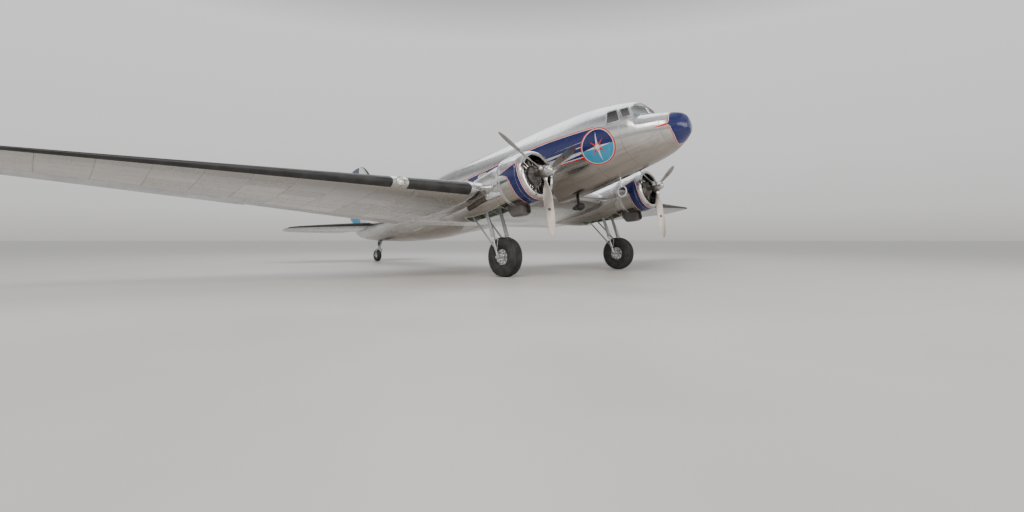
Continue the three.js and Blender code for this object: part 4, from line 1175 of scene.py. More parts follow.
def leading_boot(stations, ring, share):
    """A rubber boot over a leading edge: ring(station, grow) gives a section."""
    rings = []
    for station in stations:
        outer, inner = ring(station, 0.0035), ring(station, -0.004)
        lead, trail = inner[:, 1].min(), inner[:, 1].max()
        front = inner[:, 1] < lead + share * (trail - lead)
        rings.append([*resection(outer[front], 24), *resection(inner[front], 24)[::-1]])
    return lofted(rings)


def resection(path, count):
    """An open path with a fixed number of points, so that neighbouring sections match."""
    steps = np.append(0, np.cumsum(np.sqrt((np.diff(path, axis=0) ** 2).sum(1))))
    places = linspace(0, steps[-1], count)
    return np.stack([interp(places, steps, column) for column in path.T], 1)


def joint_band():
    """The strap over the wing joint, and its rows of bolts."""
    start, end = CENTRE_HALF_SPAN, OUTER_START
    rows = ((start + 0.001, -0.004), (start + 0.004, 0.0088), (end - 0.004, 0.0088), (end - 0.001, -0.004))
    strap = lofted([wing_ring(start, grow, at=x) for x, grow in rows])
    path = resection(wing_ring(start, 0.0085)[8:-14], 110)
    bolts = []
    for a, b in zip(path, path[1:]):
        run = Vector(b - a).normalized()
        middle = Vector((3.8, *((a + b) / 2)[1:]))
        bolts.append(rod(middle, middle + Vector((0, run.z, -run.y)) * 0.006, 0.009, 6))
    return carved(strap, *(flap_parts(*flap)[2] for flap in FLAPS)), bolts


def landing_light():
    lead, height, *_ = wing_place(LAMP_X)
    at = (LAMP_X, lead, height + 0.006)
    dome = turned([(-0.012, 0.001), (-0.011, 0.03), (-0.006, 0.062), (0.008, 0.09), (0.03, 0.107),
                   (0.055, 0.1125), (0.09, 0.1125), (0.09, 0.001)], "y", at)
    rim = turned([(0.02, 0.1128), (0.012, 0.118), (0.03, 0.1215), (0.12, 0.1215), (0.12, 0.1128)],
                 "y", at, closed=True)
    bulb = turned([(-0.0125, 0.001), (-0.0125, 0.02), (-0.006, 0.024), (-0.006, 0.001)], "y", at, 24)
    return {"lamp": dome, "formed": rim, "steel": bulb}


def build_centre_wing():
    piece("centre_wing_skin", {"wing": centre_wing_skin()}, "centre_wing")
    pair("root_fillet_{}", {"skin": root_fillet()}, sharp=50)


def build_outer_wings():
    strap, bolts = joint_band()
    boots = [leading_boot(linspace(3.95, 5.64, 8), wing_ring, 0.055),
             leading_boot(linspace(6.04, 13.3, 30), wing_ring, 0.055),
             leading_boot(13.3 + np.sin(linspace(0.02, 1.35, 10)), wing_ring, 0.06)]
    pair("outer_wing_skin_{}", {"wing": outer_wing_skin()}, "outer_wing_{}")
    pair("joint_strap_{}", {"formed": strap, "steel": bolts}, "wing_joint_band_{}")
    pair("deicer_boots_{}", {"boot": boots}, slot="tyre_rubber")
    pair("landing_lamp_{}", landing_light(), "landing_light_{}", slot="lamp_glass")
    tip = (14.335, 8.02, WING_LEAD[1] + 10.5 * DIHEDRAL + 0.025)
    lens = ((-0.055, 0.001), (-0.045, 0.018), (-0.015, 0.03), (0.02, 0.0276), (0.02, 0.001))
    foot = ((0.02, 0.001), (0.02, 0.03), (0.07, 0.021), (0.13, 0.006), (0.13, 0.001))
    for (side, sign), colour in zip(SIDES, ("red_lamp", "green_lamp")):
        kit = {colour: turned(lens, "y", tip, 24), "formed": turned(foot, "y", tip, 24)}
        piece(f"wing_tip_lamp_{side}", kit, slot="lamp_glass", flip=sign < 0)


def build_wing_controls():
    rows, matrix = aileron_rows()
    kit = {"silver_fabric": [control_surface(linspace(*rows, 18))],
           "steel": hinge_pins(0, rows[1][0], 0.02, 0.014)}
    pair("aileron_skin_{}", placed(kit, matrix), "aileron_{}", "aileron_{}")
    for name, *ends in FLAPS:
        slab, hinge, _ = flap_parts(name, *ends)
        pair(name + "_skin_{}", {"wing": slab, "steel": hinge}, name + "_{}", name + "_{}")


# Engines, drawn on the middle line and moved aside to each wing

def nacelle_skin():
    tail = 8.25 - 0.45 * np.cos(linspace(0, pi / 2, 14))[:-1]
    ys = np.unique([*arange(3.986, 7.8, 0.06), *tail, 8.249])[:, None]
    half, top, bottom = eased(NACELLE, ys)
    turns = full_turn(72)
    rings = (half * np.cos(turns), ys, (top + bottom) / 2 + (top - bottom) / 2 * np.sin(turns))
    well = block((-WELL_HALF, WELL_FRONT, -2.1), (WELL_HALF, WELL_REAR, WELL_ROOF))
    return carved(lofted(np.stack(np.broadcast_arrays(*rings), -1)), well)


def wheel_well_trim():
    """The well's lining, its stiffeners and the rolled edge of the opening."""
    half, front, rear, roof = WELL_HALF, WELL_FRONT, WELL_REAR, WELL_ROOF
    lining = [block(low, high) for low, high in (
        ((0.001 - half, front + 0.001, roof - 0.004), (half - 0.001, rear - 0.001, roof + 0.01)),
        ((-half - 0.006, front, -1.62), (0.002 - half, rear, roof)),
        ((half - 0.002, front, -1.62), (half + 0.006, rear, roof)),
        ((-half, front - 0.006, -1.64), (half, front + 0.002, roof)),
        ((-half, rear - 0.002, -1.62), (half, rear + 0.006, roof)))]
    frames = []
    for y in arange(front + 0.2, rear - 0.1, 0.26):
        frames.append(block((0.002 - half, y, roof - 0.04), (half - 0.002, y + 0.02, roof - 0.003), 0.003))
        for x in (0.012 - half, half - 0.012):
            frames.append(block((x - 0.01, y, -1.6), (x + 0.01, y + 0.02, roof), 0.003))
    paths = [[nacelle_underside(x, y) for y in linspace(front, rear, 24)] for x in (-half, half)]
    paths += [[nacelle_underside(x, y) for x in linspace(-half, half, 14)] for y in (front, rear)]
    return {"green": lining + frames, "formed": [swept(path, 0.012, 10) for path in paths]}


def nacelle_underside(x, y):
    half, top, bottom = eased(NACELLE, y)
    return x, y, (top + bottom) / 2 - sqrt(1 - (x / half) ** 2) * (top - bottom) / 2


def about_thrust(profile, sides, closed=False):
    return turned(profile, "y", (0, 0, ENGINE_Z), sides, closed)


def fine_profile(rows):
    """A smooth outline through profile points."""
    return [(p.x, p.y) for p in curve_through([(y, r, 0) for y, r in rows], 6)]


# Painted band under the cowling: degrees from its bottom, front and rear edge
COWL_BAND = ((0, 3.165, 3.45), (60, 3.155, 3.455), (80, 3.165, 3.48), (91, 3.18, 3.56), (96, 3.19, 3.7),
             (99, 3.195, 3.9), (103, 3.205, 3.7), (110, 3.225, 3.42), (116, 3.25, 3.26))


def cowl_surface(along, turn, lift):
    """The cowling's outside as a surface of y and angle."""
    radius = interp(along, *np.array(fine_profile(COWL_OUTSIDE)).T) + lift
    return np.stack((radius * np.cos(turn), along, ENGINE_Z + radius * np.sin(turn)), -1)


def cowl_strip(grow, lift):
    """The band round the lower cowling, widened by grow; its upper ends run back into points."""
    half = np.array([(at + (degrees(grow / 0.72) if at > 98 else 0), front - grow, rear + grow)
                     for at, front, rear in COWL_BAND])
    turns = np.unique([*linspace(0, 90, 31), *linspace(90, half[-1, 0], 40), *half[:, 0]])
    rings = []
    for at in (*-turns[:0:-1], *turns):
        along = linspace(*(interp(abs(at), half[:, 0], half[:, k]) for k in (1, 2)), 12)
        turn = radians(at - 90)
        rings.append([*cowl_surface(along, turn, lift), *cowl_surface(along, turn, -0.004)[::-1]])
    return lofted(rings)


def cowling_trim():
    """The rear gills, the panel latches and two round straps."""
    rows = ((3.87, 0.001), (3.875, 0.004), (3.99, 0.005), (3.996, 0.003), (3.996, -0.004), (3.87, -0.004))
    gills = []
    for start in linspace(0.35, 2 * pi - 0.35, 19)[:-1] + pi / 2:
        turns = linspace(start + 0.012, start + 0.318, 8)
        gills.append(lofted([[cowl_surface(y, turn, lift) for y, lift in rows] for turn in turns]))
    latches = [rod(cowl_surface(y - 0.045, turn, 0.003), cowl_surface(y + 0.045, turn, 0.003), 0.008, 10)
               for turn in full_turn(3) + pi / 6 for y in (3.36, 3.62, 3.88)]
    straps = [hoop((0, y, ENGINE_Z), cowl_surface(y, 0, 0.0015)[0], 0.0035, 96, 6) for y in (3.262, 3.845)]
    return {"formed": gills, "steel": latches + straps}


def fin_stack(start, end, radius, edge, count):
    """Profile rows for a barrel with cooling fins."""
    pitch = (end - start) / count
    rows = []
    for base in linspace(start, end, count, endpoint=False):
        foot = base + pitch * 0.45
        rows += [(base, radius), (foot, radius), (foot, edge), (base + pitch, edge)]
    return [*rows, (end, radius)]


def cylinder_parts():
    """One cylinder standing up along z: barrel, head, rocker boxes, plugs, pushrods and exhaust stack."""
    barrel = turned([(0.29, 0.001), (0.29, 0.098), (0.312, 0.098), (0.316, 0.078),
                     *fin_stack(0.325, 0.455, 0.074, 0.094, 14), (0.457, 0.001)], "z", sides=28)
    dome = [(0.565 + 0.04 * sin(a), 0.108 * cos(a) + 0.001) for a in linspace(0, pi / 2, 6)]
    head = turned([(0.452, 0.001), (0.452, 0.085), *fin_stack(0.46, 0.565, 0.082, 0.112, 11), *dome],
                  "z", sides=28)
    boxes, rods, dark = [], [], []
    for side in (-1, 1):
        x, foot, y = side * 0.058, side * 0.045, side * 0.1
        boxes += [block((x - 0.026, -0.115, 0.575), (x + 0.026, 0, 0.632), 0.012),
                  rod((x, -0.12, 0.604), (x, -0.108, 0.604), 0.022, 12)]
        rods += [rod((foot, -0.15, 0.3), (x, -0.088, 0.585), 0.0105, 10),
                 rod((foot, -0.152, 0.285), (side * 0.046, -0.146, 0.325), 0.018, 10)]
        lead = [(0, y * 1.3, 0.555), (0, y * 1.55, 0.55), (0.03, y * 1.7, 0.5), (0.05, y * 1.75, 0.42)]
        dark += [rod((0, y * 0.86, 0.525), lead[0], 0.012, 10), swept(curve_through(lead, 4), 0.006, 8)]
    intake = [(0.09, 0.22, 0.3), (0.115, 0.2, 0.42), (0.09, 0.12, 0.52), (0.05, 0.07, 0.55)]
    stack = [(-0.06, 0.09, 0.53), (-0.07, 0.2, 0.56), (-0.03, 0.34, 0.575)]
    dark.append(swept(curve_through(intake, 5), 0.032))
    return {"casting": merged(boxes), "steel": merged(rods), "dark": merged(dark),
            "cylinder": merged([barrel, head]), "exhaust": swept(curve_through(stack, 5), 0.036, 12)}


def engine_parts():
    """Crankcase, cylinders, ignition ring, intake and exhaust collector."""
    nose = [(2.9765, 0.001), (2.9765, 0.058), (3.07, 0.068), (3.078, 0.085), (3.09, 0.145), (3.1, 0.153),
            (3.112, 0.153), (3.118, 0.148), (3.15, 0.185), (3.19, 0.225), (3.2, 0.24), (3.212, 0.24),
            (3.216, 0.232), (3.25, 0.295), (3.26, 0.318), (3.28, 0.325), (3.35, 0.3), (3.47, 0.3),
            (3.56, 0.33), (3.63, 0.4), (3.66, 0.42), (3.98, 0.42), (3.98, 0.001)]
    baffle = [(3.5, 0.3), (3.503, 0.69), (3.507, 0.69), (3.51, 0.3)]
    bolts = [rod((x, y - 0.014, z), (x, y, z), size, 6)
             for count, radius, y, size in ((18, 0.138, 3.093, 0.008), (24, 0.226, 3.203, 0.007),
                                            (27, 0.307, 3.262, 0.008))
             for x, z in polar(radius, full_turn(count), (0, ENGINE_Z))]
    high = ENGINE_Z + 0.2
    casting = [about_thrust(nose, 72), rod((0, 3.12, high), (0, 3.24, high), 0.045),
               rod((0, 3.105, high), (0, 3.125, high), 0.03),
               block((-0.06, 3.17, ENGINE_Z - 0.36), (0.06, 3.3, ENGINE_Z - 0.2), 0.02)]
    parts = {"casting": casting, "steel": bolts,
             "dark": [hoop((0, 3.22, ENGINE_Z), 0.262, 0.016, 48), about_thrust(baffle, 96, True)],
             "cylinder": [], "exhaust": [hoop((0, 3.76, ENGINE_Z), 0.575, 0.055, 64, 16)]}
    cylinder = cylinder_parts()
    for turn in full_turn(CYLINDERS):
        place = Matrix.Translation((0, 3.41, ENGINE_Z)) @ Matrix.Rotation(turn, 4, "Y")
        for finish, part in cylinder.items():
            parts[finish].append(moved(part, place))
    return parts


def box_ring(y, half, low, high, corner):
    return [(u, y, v) for u, v in rounded_outline(-half, half, low, high, corner, 7)]


def fairing(mouth, rows, corner):
    """A smooth body through rounded boxes of y, half width, low and high, behind its mouth's rings."""
    table = np.array(rows)
    ys = linspace(table[0, 0], table[-1, 0], 12 * (len(rows) - 1))
    outer = [box_ring(y, half, low, high, min(corner, half * 0.9, (high - low) * 0.45))
             for y, half, low, high in zip(ys, *eased(table, ys))]
    return lofted([*(box_ring(*row) for row in mouth), *outer])


def intake_scoop():
    """The carburettor's air scoop over the cowling, with a lip and a dark duct."""
    mouth = ((3.79, 0.084, -0.306, -0.252, 0.025), (3.572, 0.084, -0.306, -0.252, 0.025),
             (3.57, 0.085, -0.308, -0.25, 0.03), (3.552, 0.09, -0.314, -0.248, 0.03),
             (3.552, 0.098, -0.322, -0.242, 0.03))
    rows = ((3.56, 0.105, -0.33, -0.235), (3.62, 0.12, -0.4, -0.205), (3.95, 0.12, -0.42, -0.215),
            (4.42, 0.06, -0.47, -0.33))
    return fairing(mouth, rows, 0.045)


def oil_cooler_body():
    mouth = ((3.78, 0.128, -1.933, -1.712, 0.06), (3.66, 0.128, -1.933, -1.712, 0.06),
             (3.65, 0.13, -1.935, -1.71, 0.07), (3.632, 0.136, -1.941, -1.704, 0.07),
             (3.632, 0.142, -1.947, -1.698, 0.07))
    rows = ((3.64, 0.15, -1.955, -1.69), (3.76, 0.17, -1.985, -1.64), (4.1, 0.165, -1.965, -1.56),
            (4.29, 0.09, -1.8, -1.56))
    return fairing(mouth, rows, 0.08)


def exhaust_pipe():
    """The tail pipe past the nacelle, hollow at its end, and the bright shroud round its front."""
    path = curve_through([(0.56, 3.99, -1.33), (0.62, 4.12, -1.337), (0.68, 4.26, -1.347), (0.74, 4.6, -1.4),
                          (0.75, 5.2, -1.5)])
    radii = interp(linspace(0, 4, len(path)), range(5), (0.07, 0.084, 0.09, 0.086, 0.08))
    end, back = path[-1], (path[-1] - path[-8]).normalized()
    pipe = swept(path[14:], radii[14:] - 0.006, 28, (True, False))
    bore = swept([end + back * 0.001, end, end - back * 0.2], (0.074, 0.064, 0.062), 28, (False, True))
    shroud = swept(path[:22], [*radii[:20], radii[20] - 0.004, radii[21] - 0.012], 28)
    clamps = [swept(path[i:i + 2], radii[i] + 0.004, 28) for i in (5, 18)]
    return {"exhaust": [pipe, bore], "formed": shroud, "steel": clamps}


# Propeller, drawn round its own hub: radius, chord, thickness and pitch in degrees
BLADE = np.array([
    (0.13, 0.096, 0.096, 60), (0.22, 0.098, 0.096, 56), (0.3, 0.112, 0.088, 52), (0.48, 0.2, 0.05, 44),
    (0.8, 0.262, 0.034, 34), (1.2, 0.262, 0.024, 26), (1.5, 0.215, 0.017, 21), (1.68, 0.13, 0.012, 19),
    (1.735, 0.075, 0.009, 18.2), (1.7526, 0.02, 0.006, 18),
])


def blade_spots(radius, steps, grow=0):
    """Points on a blade at one radius, at steps of a 32nd round its section."""
    chord, thick, pitch = eased(BLADE, radius)
    belly = 0.55 + 0.45 * max(0, min(1, (0.42 - radius) / 0.2))
    u, v = (chord / 2 + grow) * np.cos(steps * pi / 16), (thick / 2 + grow) * np.sin(steps * pi / 16)
    v = np.where(v > 0, v, v * belly)
    c, s = cos(radians(pitch)), sin(radians(pitch))
    return np.stack((u * c - v * s, u * s + v * c, np.full(len(u), radius)), 1)


def propeller_parts():
    radii = [*linspace(0.13, 1.68, 44), *(1.7526 - 0.0726 * (1 - np.sin(linspace(0.15, 1.57, 10))))]
    blade = lofted([blade_spots(radius, arange(32)) for radius in radii])
    rings = []
    for turn in linspace(-1.5, 1.5, 15):
        radius, steps = 1.02 + 0.04 * sin(turn), 24 + 1.9 * cos(turn) * linspace(-1, 1, 9)
        rings.append([*blade_spots(radius, steps, 0.0008), *blade_spots(radius, steps[::-1], -0.001)])
    cuff = turned([(0.11, 0.001), (0.11, 0.074), (0.15, 0.076), (0.16, 0.07), (0.2, 0.068), (0.205, 0.062),
                   (0.235, 0.06), (0.24, 0.051), (0.24, 0.001)], "z", sides=36)
    weight = merged([block((0.05, -0.04, 0.13), (0.105, 0.04, 0.19), 0.012),
                     rod((0.076, -0.06, 0.16), (0.076, -0.035, 0.16), 0.02, 16)])
    dome = [(-0.29, 0.001), (-0.2885, 0.03), (-0.282, 0.055), (-0.27, 0.075), (-0.25, 0.092), (-0.226, 0.105),
            (-0.2, 0.112), (-0.16, 0.116), (-0.128, 0.118), (-0.126, 0.126), (-0.112, 0.128), (-0.11, 0.12),
            (-0.1, 0.12), (-0.1, 0.001)]
    barrel = [(-0.104, 0.001), (-0.104, 0.135), (-0.095, 0.15), (-0.06, 0.172), (-0.045, 0.175),
              (0.045, 0.175), (0.06, 0.172), (0.085, 0.13), (0.1, 0.112), (0.125, 0.104), (0.146, 0.1),
              (0.146, 0.001)]
    bolts = [rod((x, -0.112, z), (x, -0.09, z), 0.009, 6) for x, z in polar(0.155, full_turn(6) + 0.3)]
    parts = {"blade": [], "dark": [], "steel": [turned(dome, "y"), *bolts], "casting": [turned(barrel, "y")]}
    for turn in full_turn(BLADES) + pi:
        place = Matrix.Rotation(turn, 4, "Y")
        for finish, part in (("blade", blade), ("dark", lofted(rings)), ("steel", cuff), ("casting", weight)):
            parts[finish].append(moved(part, place))
    return parts


def build_nacelles():
    pair("nacelle_skin_{}", {"nacelle": nacelle_skin(), **wheel_well_trim()}, "nacelle_{}", aside=ENGINE_X)


def build_cowlings():
    skin = about_thrust([*fine_profile(COWL_OUTSIDE), *fine_profile(COWL_INSIDE)], 120, True)
    pair("cowling_skin_{}", {"nacelle": skin, **cowling_trim()}, "cowling_{}", aside=ENGINE_X)
    paint = {"band": cowl_strip(0, 0.0026), "white": cowl_strip(0.012, 0.0018),
             "red": cowl_strip(0.03, 0.001)}
    pair("cowling_band_{}", paint, slot="blue_paint", aside=ENGINE_X)


def build_engines():
    core = lofted([box_ring(y, 0.127, -1.932, -1.713, 0.06) for y in (3.75, 3.77)])
    pair("radial_engine_{}", engine_parts(), "engine_{}", slot="engine_metal", aside=ENGINE_X)
    pair("air_scoop_{}", {"formed": intake_scoop()}, "carburettor_scoop_{}", aside=ENGINE_X)
    pair("cooler_{}", {"cooler": oil_cooler_body(), "core": core}, "oil_cooler_{}", aside=ENGINE_X)
    pair("tail_pipe_{}", exhaust_pipe(), "exhaust_{}", slot="dark_metal", aside=ENGINE_X)


def build_propellers():
    parts = propeller_parts()
    for side, sign in SIDES:
        place = Matrix.Translation((sign * ENGINE_X, HUB.y, ENGINE_Z))
        node = f"propeller_{side}"
        piece(f"propeller_blades_{side}", placed(parts, place), node, node, "propeller_metal")


# Landing gear

def tyre(radius, half, rim, grooves, notches):
    """A tyre with ribbed tread, shoulder notches and a moulded sidewall, round its own axle."""
    wall = radius - rim
    bulge = ((0.7, 0.05), (0.82, 0.14), (0.93, 0.28), (0.99, 0.42), (1, 0.5), (0.985, 0.62), (0.93, 0.74),
             (0.86, 0.8))
    side = [(0.55, rim + 0.0005), *((a, rim + wall * up) for a, up in bulge), (0.74, radius * 0.965),
            (0.6, radius * 0.98)]
    tread = [(middle + a, radius * share) for middle in linspace(-0.42, 0.42, grooves)
             for a, share in ((-0.045, 0.998), (-0.03, 0.975), (0.03, 0.975), (0.045, 0.998))]
    outline = [*((-a, r) for a, r in side), *tread, *side[::-1]]
    parts = [turned([(a * half, r) for a, r in outline], "x", sides=120, closed=True)]
    rib = ((0.995, 0.56), (1, 0.57), (1, 0.6), (0.96, 0.61))
    for edge in (-half, half):
        parts.append(turned([(edge * a, rim + wall * up) for a, up in rib], "x", sides=96, closed=True))
        middle, wide, long = edge * 0.8, 0.018 * radius, 0.012 * radius
        notch = block((middle - wide, -long, radius * 0.925), (middle + wide, long, radius * 0.953), 0.002, 1)
        parts += [moved(notch, Matrix.Rotation(turn, 4, "X")) for turn in full_turn(notches)]
    return parts


def cast_wheel(half, rim, bore):
    """A cast wheel: rim flanges, webbed discs whose holes are shown as dark cups of painted shade, hub cap
    and bolts.
    """
    profile = [(-0.62, bore), (-0.62, bore + rim * 0.22), (-0.58, bore + rim * 0.25),
               (-0.32, rim * 0.5), (-0.3, rim * 0.56), (-0.33, rim * 0.84), (-0.37, rim * 0.9),
               (-0.52, rim * 0.94), (-0.56, rim * 0.97), (-0.55, rim * 0.999)]
    outline = [*profile, *((-a, r) for a, r in profile[::-1])]
    metal, bolts, shaded_hole_cups = [turned([(a * half, r) for a, r in outline], "x", sides=96, closed=True)], [], []
    lip = turned([(0, rim * 0.1), (half * 0.06, rim * 0.1), (half * 0.06, rim * 0.125), (0, rim * 0.135)],
                 "x", sides=24, closed=True)
    for sign in (-1, 1):
        for y, z in polar(rim * 0.7, full_turn(8)):
            web = Vector((sign * half * 0.315, y, z))
            # Each hole is a dark cup: painted shade where the hollow would be
            shaded_hole_cups.append(rod(web, (sign * half * 0.345, y, z), rim * 0.1))
            metal.append(moved(lip, Matrix.Translation(web) @ Matrix.Scale(sign, 4, (1, 0, 0))))
        for y, z in polar(bore + rim * 0.13, full_turn(8) + 0.39):
            bolts.append(rod((sign * half * 0.6, y, z), (sign * half * 0.66, y, z), rim * 0.032, 6))
    return {"formed": metal, "steel": bolts, "dark": shaded_hole_cups}


def ball(at, radius):
    turns = linspace(-pi / 2, pi / 2, 13)
    return turned([(radius * sin(a), max(radius * cos(a), 0.0005)) for a in turns], "z", at, 24)


def main_gear_parts():
    """Two oil struts with bright pistons, torque links, drag struts, crossed stays and brake lines."""
    reach, out = WELL_HALF - 0.001, Vector((1, 0, 0))
    legs = [rod(MAIN_AXLE - out * 0.345, MAIN_AXLE + out * 0.345, 0.0456, 32)]
    pistons, lines = [], []
    for y, radius in ((5.02, 0.058), (5.78, 0.045)):
        legs.append(rod((-reach, y, -1.44), (reach, y, -1.44), radius, 28))
        legs += [rod((side * 0.34, y, -1.44), (side * 0.349, y, -1.44), radius + 0.022, 24)
                 for side in (-1, 1)]
    for side in (-1, 1):
        x = side * 0.272
        low, top, heel = MAIN_AXLE + out * x, Vector((x, 5.02, -1.44)), Vector((x, 5.78, -1.44))
        waist, yoke, along = low.lerp(top, 0.42), low.lerp(top, 0.16), (top - low).normalized()
        knee = low.lerp(top, 0.3) + Vector((0, -0.16, 0.02))
        pistons.append(rod(low, waist + along * 0.05, 0.033, 28))
        for place, radius, tall in ((waist, 0.058, 0.045), (waist + along * 0.16, 0.055, 0.02),
                                    (top - along * 0.14, 0.057, 0.05)):
            legs.append(rod(place - along * tall / 2, place + along * tall / 2, radius, 32))
        for end in (low.lerp(top, 0.14), waist + along * 0.02):
            legs.append(rod(end + Vector((0, -0.03, 0)), knee, 0.014, 12, 0.01))
        legs += [rod(waist, top, 0.05, 32), ball(low, 0.062), ball(heel, 0.05), rod(yoke, heel, 0.0265),
                 rod(low - out * 0.04 * side, low + out * 0.045 * side, 0.056, 28),
                 rod(yoke - along * 0.04, yoke + along * 0.04, 0.045, 24),
                 rod(knee - out * 0.022, knee + out * 0.022, 0.014, 14),
                 rod((x, 4.972, -1.72), (-x, 5.012, -1.49), 0.014, 14)]
        hose = [spot + Vector((0, y, z)) for spot, y, z in
                ((top, -0.055, -0.1), (waist, -0.07, 0.1), (waist, -0.085, -0.12), (yoke, -0.09, 0.06),
                 (low, -0.075, 0.02))]
        lines.append(swept(curve_through(hose), 0.007, 10))
    return {"grey": legs, "steel": pistons, "dark": lines}


def tail_fork_parts():
    """The tail wheel's fork in its upright frame, floor at 0."""
    arm, crown = TAIL_TYRE[1] + 0.038, TAIL_CROWN - 0.03
    cap = [(-0.04, 0.001), (-0.04, 0.05), (-0.03, 0.058), (0.012, 0.058), (0.018, 0.052), (0.024, 0.058),
           (0.0295, 0.056), (0.0295, 0.001)]
    hub, out, top = Vector((0, TAIL_TRAIL, TAIL_TYRE[0])), Vector((1, 0, 0)), Vector((0, 0.03, crown - 0.03))
    fork = [turned(cap, "z", (0, 0, crown), 36), rod(top - out * arm, top + out * arm, 0.036, 24)]
    axle = [rod(hub - out * (arm + 0.045), hub + out * (arm + 0.045), 0.0236, 24)]
    for side in (-arm, arm):
        path = [top + out * side, top + Vector((side, 0.03, -0.11)), hub + Vector((side, -0.03, 0.09)),
                hub + out * side]
        fork += [swept(curve_through(path), 0.0235, 20), ball(path[-1], 0.036), ball(path[0], 0.036)]
        axle.append(rod(hub + out * side * (1 + 0.03 / arm), hub + out * side * (1 + 0.044 / arm), 0.03, 6))
    return {"grey": fork, "steel": axle}


def tail_place():
    """The matrix of the tail wheel's upright frame, floor at 0, in the row frame."""
    return Matrix.Translation(Vector(JOINTS["tail_wheel_swivel"]["pos_m"]) * Vector((1, 1, 0)))


def tail_strut_parts():
    """Strut, brace and rubber boot above the fork, in the level frame."""
    back = FROM_ROW @ tail_place()
    socket, root = back @ Vector((0, 0, TAIL_CROWN + 0.0003)), back @ Vector((0, 0, TAIL_CROWN + 0.6))
    along, (_, y, z) = (root - socket).normalized(), socket
    strut = [rod(socket, root, 0.062, 36, 0.08), rod(socket, socket + along * 0.03, 0.07, 36),
             rod((0, y, z + 0.06), (0, y - 0.65, -0.2), 0.036, 24),
             rod((-0.05, y - 0.02, z + 0.07), (0.05, y - 0.02, z + 0.07), 0.03)]
    folds = []
    for i in range(7):
        place = socket + along * (0.12 + i * 0.028)
        folds.append(rod(place, place + along * 0.02, 0.088 - 0.001 * i, 36))
    return {"grey": strut, "rubber": folds}


def build_wheel(disc, cover, wheel_node, tyre_node, joint, size, bore, grooves, notches):
    """A wheel and its tyre at their joint, both riding on the wheel's body."""
    place = Matrix.Translation(JOINTS[joint]["pos_m"])
    rubber = {"rubber": tyre(*size, grooves, notches)}
    piece(disc, placed(cast_wheel(*size[1:], bore), place), wheel_node, wheel_node, "grey_paint", level=False)
    piece(cover, placed(rubber, place), tyre_node, wheel_node, "tyre_rubber", level=False)


def build_main_gear():
    pair("oil_struts_{}", main_gear_parts(), "main_gear_{}", slot="grey_paint", aside=ENGINE_X)
    for side, _ in SIDES:
        build_wheel(f"wheel_{side}", f"tyre_{side}", f"main_wheel_{side}", f"main_tyre_{side}",
                    f"main_wheel_spin_{side}", MAIN_TYRE, 0.046, 5, 40)


def build_tail_gear():
    piece("tail_leg", tail_strut_parts(), "tail_strut", slot="grey_paint")
    fork = placed(tail_fork_parts(), tail_place())
    piece("tail_wheel_fork", fork, "tail_fork", "tail_fork", "grey_paint", level=False)
    build_wheel("tail_wheel_disc", "tail_wheel_tyre", "tail_wheel", "tail_tyre",
                "tail_wheel_spin", TAIL_TYRE, 0.024, 3, 28)


# Tail

RUDDER_PLACE = hinge_matrix(RUDDER_LOW, RUDDER_HIGH, Vector((0, 1, 0)))
ELEVATOR_PLACE = Matrix.Translation((0, ELEVATOR_Y, TAILPLANE_Z))


def fin_ring(z, grow=0):
    lead, thick = eased(FIN, z)
    front = interp(z, (RUDDER_LOW.z, RUDDER_HIGH.z), (RUDDER_LOW.y, RUDDER_HIGH.y)) - SETBACK - lead
    whole = front + interp(z, (3.3, 3.6), (1.35, 0.9))
    along, out = offset_outline(aerofoil(whole, thick, 0, front / whole, 28), grow)
    return np.stack((out, lead + along, np.full(len(out), z)), 1)


def tailplane_ring(x, grow=0):
    lead, thick = eased(TAILPLANE, x)
    front = ELEVATOR_Y - SETBACK - lead
    whole = front + interp(x, (0, 3.6, 4), (0.86, 0.66, 0.52))
    along, up = offset_outline(aerofoil(whole, thick, 0, front / whole, 28), grow)
    return np.stack((np.full(len(up), x), lead + along, TAILPLANE_Z + up), 1)


def fine_rows(table, count):
    """Rows of a table refined along it, closer together toward both ends."""
    at = table[0, 0] + np.ptp(table[:, 0]) * (1 - np.cos(linspace(0, pi, count))) / 2
    return np.column_stack((at, *eased(table, at)))


def size_at(rows, at):
    """Nose radius and chord of a moving surface at a place along its hinge."""
    return (interp(at, rows[:, 0], rows[:, k]) for k in (1, 2))


def fin_dorsal():
    """The fairing ahead of the fin's root."""
    rings = []
    for t in linspace(0, 1, 20):
        y, tall, wide = 14.7 + 1.35 * t, 0.021 + 0.34 * t ** 2.2, 0.01 + 0.075 * t ** 0.8
        base = fuselage_points(y, pi / 2)[2] - 0.02
        rings.append([(wide * cos(a), y, base + tall * sin(a)) for a in linspace(0, pi, 14)])
    return lofted(rings)


def trim_tab(rows, start, end, depth):
    """A tab let into the trailing edge, drawn as a plate a hair proud of the surface."""
    rings = []
    for at in linspace(start, end, 6):
        radius, chord = size_at(rows, at)
        thick = 0.007 + (radius - 0.005) * depth / chord
        rings.append(across(((chord - depth, -thick), (chord + 0.004, -0.006), (chord + 0.004, 0.006),
                             (chord - depth, thick)), at))
    return lofted(rings)


def rudder_side(sign, rows):
    """One side of the rudder as a surface of places along and behind the hinge."""
    def surface(us, vs, lift):
        radius, chord = size_at(rows, us)
        share = np.clip(vs / chord, 0, 1)
        return np.stack((us, vs, sign * ((1 - share) * radius + share * 0.004 + lift)), -1)
    return surface


def rudder_strip(surface, rows, low, high):
    """Paint across one side of the rudder, out to its trailing edge."""
    rings = []
    for at in linspace(low, high, 12):
        _, chord = size_at(rows, at)
        places, behind = np.full(24, at), linspace(0, chord + 0.001, 24)
        proud = 0.002 if low < at < high else -0.001
        rings.append([*surface(places, behind, proud), *surface(places, behind, -0.002)[::-1]])
    return lofted(rings)


